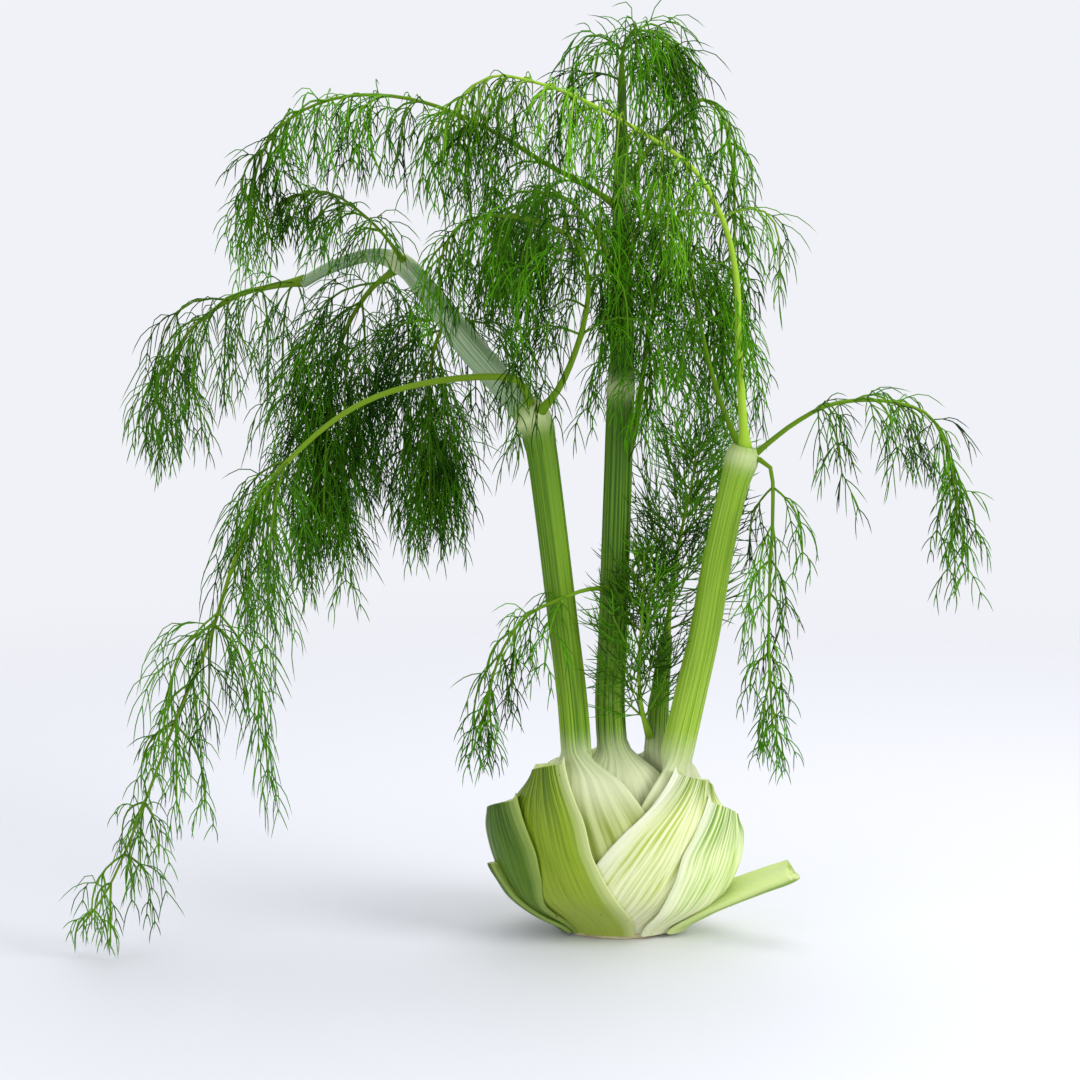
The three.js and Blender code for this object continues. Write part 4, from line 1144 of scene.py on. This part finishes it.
def thread_leaf(name, look):
    """Thread leaves: thin smooth green without gloss, each leaflet a little lighter or darker."""
    surface = {"Roughness": 0.5, "Specular IOR Level": 0.05}
    material, tree, shader = new_material(name, surface)
    tone = add_node(tree, "ShaderNodeAttribute", {"attribute_name": "tone"}).outputs["Fac"]
    stem = add_node(tree, "ShaderNodeAttribute", {"attribute_name": "stem"}).outputs["Fac"]
    # The greens also drift over about 18 mm
    place = add_node(tree, "ShaderNodeTexCoord").outputs["Object"]
    drift = add_node(tree, "ShaderNodeTexNoise", {"Scale": 55.0, "Detail": 2.0}, {"Vector": place})
    mixed = add_node(
        tree, "ShaderNodeMath", {"operation": "MULTIPLY_ADD", 1: 0.55}, {0: tone, 2: drift}
    )
    spread = add_node(tree, "ShaderNodeMapRange", {"From Min": 0.42, "From Max": 1.05}, {0: mixed})
    layers = [(spread, linear(look["light"])), (stem, linear(look["stem"]))]
    colour = lay_over(tree, linear(look["deep"]), layers)
    tree.links.new(colour, shader.inputs["Base Color"])
    return material


# Settings and operators
LENGTH = {"subtype": "DISTANCE", "unit": "LENGTH"}
COLOUR = {"size": 4, "min": 0.0, "max": 1.0, "subtype": "COLOR"}


class FennelBulbSettings(bpy.types.PropertyGroup):
    """Sizes and colours of the leaf bases."""

    vein_spacing: bpy.props.FloatProperty(
        name="Vein spacing",
        description="Distance between veins at a leaf base's widest part",
        default=3.6 * MM,
        min=1.0 * MM,
        max=10.0 * MM,
        **LENGTH,
    )
    cut_colour: bpy.props.FloatVectorProperty(
        name="Cut flesh",
        description="Colour of the cut faces of the stubs",
        default=linear("DDE6A8"),
        **COLOUR,
    )


class FennelStalkSettings(bpy.types.PropertyGroup):
    """Colours of the inner leaves' sheaths."""

    sheath_dark: bpy.props.FloatVectorProperty(
        name="Sheath stripes",
        description="Colour of the greener stripes on a sheath",
        default=linear("8A9A3A"),
        **COLOUR,
    )
    sheath_light: bpy.props.FloatVectorProperty(
        name="Sheath ground",
        description="Colour of the paler ground of a sheath",
        default=linear("BEC884"),
        **COLOUR,
    )


class FennelFrondSettings(bpy.types.PropertyGroup):
    """Sizes and density of the thread leaves."""

    thread_radius: bpy.props.FloatProperty(
        name="Thread radius",
        description="Radius of one thread at its root",
        default=0.26 * MM,
        min=0.1 * MM,
        max=1.0 * MM,
        **LENGTH,
    )
    twig_spacing: bpy.props.FloatProperty(
        name="Twig spacing",
        description="Distance between the pairs of side twigs on a leaflet",
        default=9.0 * MM,
        min=3.0 * MM,
        max=30.0 * MM,
        **LENGTH,
    )
    thread_spacing: bpy.props.FloatProperty(
        name="Thread spacing",
        description="Distance between the pairs of threads on a side twig",
        default=7.0 * MM,
        min=2.0 * MM,
        max=20.0 * MM,
        **LENGTH,
    )


class FennelStudioSettings(bpy.types.PropertyGroup):
    """Floor and light of the studio."""

    floor_colour: bpy.props.FloatVectorProperty(
        name="Floor",
        description="Colour of the floor round the bulb",
        default=linear("DCDDE2"),
        **COLOUR,
    )
    key_power: bpy.props.FloatProperty(
        name="Key light",
        description="Power of the soft light from the right",
        default=10.0,
        min=0.0,
        max=200.0,
        subtype="POWER",
        unit="POWER",
    )


class OBJECT_OT_fennel_root_plate(bpy.types.Operator):
    """Builds the trimmed root plate that the bulb stands on"""

    bl_idname = "object.fennel_root_plate"
    bl_label = "Root plate"

    def execute(self, context):
        material = root_cut()
        add_piece("root_plate_cut", root_plate_mesh("root_plate_cut"), "root_plate", [material])
        return {"FINISHED"}


class OBJECT_OT_fennel_leaf_bases(bpy.types.Operator):
    """Builds the leaf bases with their cut stubs"""

    bl_idname = "object.fennel_leaf_bases"
    bl_label = "Leaf bases"

    def execute(self, context):
        settings = context.scene.fennel_bulb
        flesh = cut_flesh(settings)
        for node, leaf in LEAF_BASES.items():
            leaf["half_width"] = half_width(leaf)
            skin = leaf_skin(f"{node}_skin", leaf, settings)
            add_piece(f"{node}_leaf", leaf_base_mesh(node, leaf), node, [skin, flesh])
        return {"FINISHED"}


class OBJECT_OT_fennel_stalks(bpy.types.Operator):
    """Builds the inner leaves with their sheaths and whole stalks"""

    bl_idname = "object.fennel_stalks"
    bl_label = "Stalks"

    def execute(self, context):
        settings = context.scene.fennel_stalks
        for node, leaf in STALKS.items():
            leaf["half_width"] = half_width(leaf)
            skin = stalk_skin(f"{node}_skin", leaf, settings)
            add_piece(f"{node}_leaf", stalk_mesh(node, leaf), node, [skin])
        return {"FINISHED"}


class OBJECT_OT_fennel_fronds(bpy.types.Operator):
    """Builds the fronds with all their threads"""

    bl_idname = "object.fennel_fronds"
    bl_label = "Fronds"

    def execute(self, context):
        settings = context.scene.fennel_fronds
        # The dark and sunny greens paint shade and light on the fronds
        greens = {key: thread_leaf(f"thread_leaf_{key}", look) for key, look in THREAD_LOOKS.items()}
        for seed, (node, frond) in enumerate(FRONDS.items(), start=11):
            mesh = frond_mesh(node, frond, settings, seed)
            add_piece(f"{node}_threads", mesh, node, [greens[frond["look"]]])
        return {"FINISHED"}


# The studio is laid out in metres
FLOOR_RADIUS = 1.6
LIGHT_TARGET = (0.0, 0.0, 0.15)
# The camera looks at the middle of the photo's frame from straight in front and a little above
CAMERA_TARGET = (-0.0336, 0.0, 0.168)
CAMERA_ELEVATION = 8.0
CAMERA_DISTANCE = 1.15
CAMERA_LENS = 91.3


def aim(thing, target):
    """Turns a light or camera to face a point."""
    away = Vector(thing.location) - Vector(target)
    thing.rotation_euler = away.to_track_quat("Z", "Y").to_euler()


class OBJECT_OT_fennel_studio(bpy.types.Operator):
    """Builds the floor, the soft lights and the camera"""

    bl_idname = "object.fennel_studio"
    bl_label = "Studio"

    def execute(self, context):
        settings = context.scene.fennel_studio
        scene = context.scene
        scene.view_settings.view_transform = "Standard"
        self.floor(scene, settings)
        self.backdrop(scene)
        self.light(scene, "key_softbox", (0.98, -0.5, 0.7), 0.6, settings.key_power)
        self.light(scene, "fill_softbox", (-0.9, -0.8, 0.5), 0.9, 0.3 * settings.key_power)
        self.light(scene, "top_softbox", (0.1, 0.35, 1.1), 0.8, 0.45 * settings.key_power)
        self.camera(scene)
        return {"FINISHED"}

    def floor(self, scene, settings):
        """A disc of smooth painted board, pale and matt, whose rim fades away into the backdrop."""
        mesh = bpy.data.meshes.new("floor")
        count = 128
        turn = np.linspace(0, 2 * math.pi, count + 1)[:-1]
        rim = [(FLOOR_RADIUS * math.cos(t), FLOOR_RADIUS * math.sin(t), 0.0) for t in turn]
        mesh.from_pydata(rim, [], [tuple(range(count))])
        surface = {"Base Color": tuple(settings.floor_colour), "Roughness": 0.6}
        material, tree, shader = new_material("pale_studio_board", surface)
        place = add_node(tree, "ShaderNodeTexCoord").outputs["Object"]
        distance = add_node(tree, "ShaderNodeVectorMath", {"operation": "LENGTH"}, {0: place})
        fade = add_node(
            tree,
            "ShaderNodeMapRange",
            {"From Min": 0.25, "From Max": 1.0, "To Min": 1.0, "To Max": 0.0, **SMOOTH},
            {0: distance.outputs["Value"]},
        )
        tree.links.new(fade.outputs[0], shader.inputs["Alpha"])
        mesh.materials.append(material)
        floor = bpy.data.objects.new("studio_floor", mesh)
        scene.collection.objects.link(floor)

    def backdrop(self, scene):
        """An even, nearly white surround."""
        world = bpy.data.worlds.new("pale_surround")
        world.use_nodes = True
        tree = world.node_tree
        background = tree.nodes["Background"]
        background.inputs["Color"].default_value = linear("F1F2F8")
        # The surround gives less light than it shows, so that the softboxes model the leaves
        seen = add_node(tree, "ShaderNodeLightPath").outputs["Is Camera Ray"]
        strength = add_node(tree, "ShaderNodeMapRange", {"To Min": 0.88, "To Max": 1.0}, {0: seen})
        tree.links.new(strength.outputs[0], background.inputs["Strength"])
        scene.world = world

    def light(self, scene, name, location, size, power):
        """A square softbox that faces the middle of the plant."""
        data = bpy.data.lights.new(name, "AREA")
        data.size = size
        data.energy = power
        lamp = bpy.data.objects.new(name, data)
        lamp.location = location
        aim(lamp, LIGHT_TARGET)
        scene.collection.objects.link(lamp)

    def camera(self, scene):
        """The camera that takes the photo's view."""
        data = bpy.data.cameras.new("camera")
        data.lens = CAMERA_LENS
        data.sensor_width = 36.0
        camera = bpy.data.objects.new("camera", data)
        tilt = math.radians(CAMERA_ELEVATION)
        x, y, z = CAMERA_TARGET
        camera.location = (
            x,
            y - CAMERA_DISTANCE * math.cos(tilt),
            z + CAMERA_DISTANCE * math.sin(tilt),
        )
        aim(camera, CAMERA_TARGET)
        scene.collection.objects.link(camera)
        scene.camera = camera


class VIEW3D_PT_fennel(bpy.types.Panel):
    """Lists the steps that build the fennel bulb"""

    bl_label = "Fennel bulb"
    bl_space_type = "VIEW_3D"
    bl_region_type = "UI"
    bl_category = "Fennel"

    def draw(self, context):
        scene = context.scene
        for settings in SETTINGS:
            group = getattr(scene, settings)
            box = self.layout.box()
            for name in group.__annotations__:
                box.prop(group, name)
        for operator in OPERATORS:
            self.layout.operator(operator.bl_idname)


SETTINGS = {
    "fennel_bulb": FennelBulbSettings,
    "fennel_stalks": FennelStalkSettings,
    "fennel_fronds": FennelFrondSettings,
    "fennel_studio": FennelStudioSettings,
}
OPERATORS = (
    OBJECT_OT_fennel_root_plate,
    OBJECT_OT_fennel_leaf_bases,
    OBJECT_OT_fennel_stalks,
    OBJECT_OT_fennel_fronds,
    OBJECT_OT_fennel_studio,
)


def register():
    for cls in (*SETTINGS.values(), *OPERATORS, VIEW3D_PT_fennel):
        bpy.utils.register_class(cls)
    for name, group in SETTINGS.items():
        setattr(bpy.types.Scene, name, bpy.props.PointerProperty(type=group))


def unregister():
    for name in SETTINGS:
        delattr(bpy.types.Scene, name)
    for cls in reversed((*SETTINGS.values(), *OPERATORS, VIEW3D_PT_fennel)):
        bpy.utils.unregister_class(cls)


def main():
    register()
    bpy.ops.object.fennel_root_plate()
    bpy.ops.object.fennel_leaf_bases()
    bpy.ops.object.fennel_stalks()
    bpy.ops.object.fennel_fronds()
    bpy.ops.object.fennel_studio()


if __name__ == "__main__":
    main()
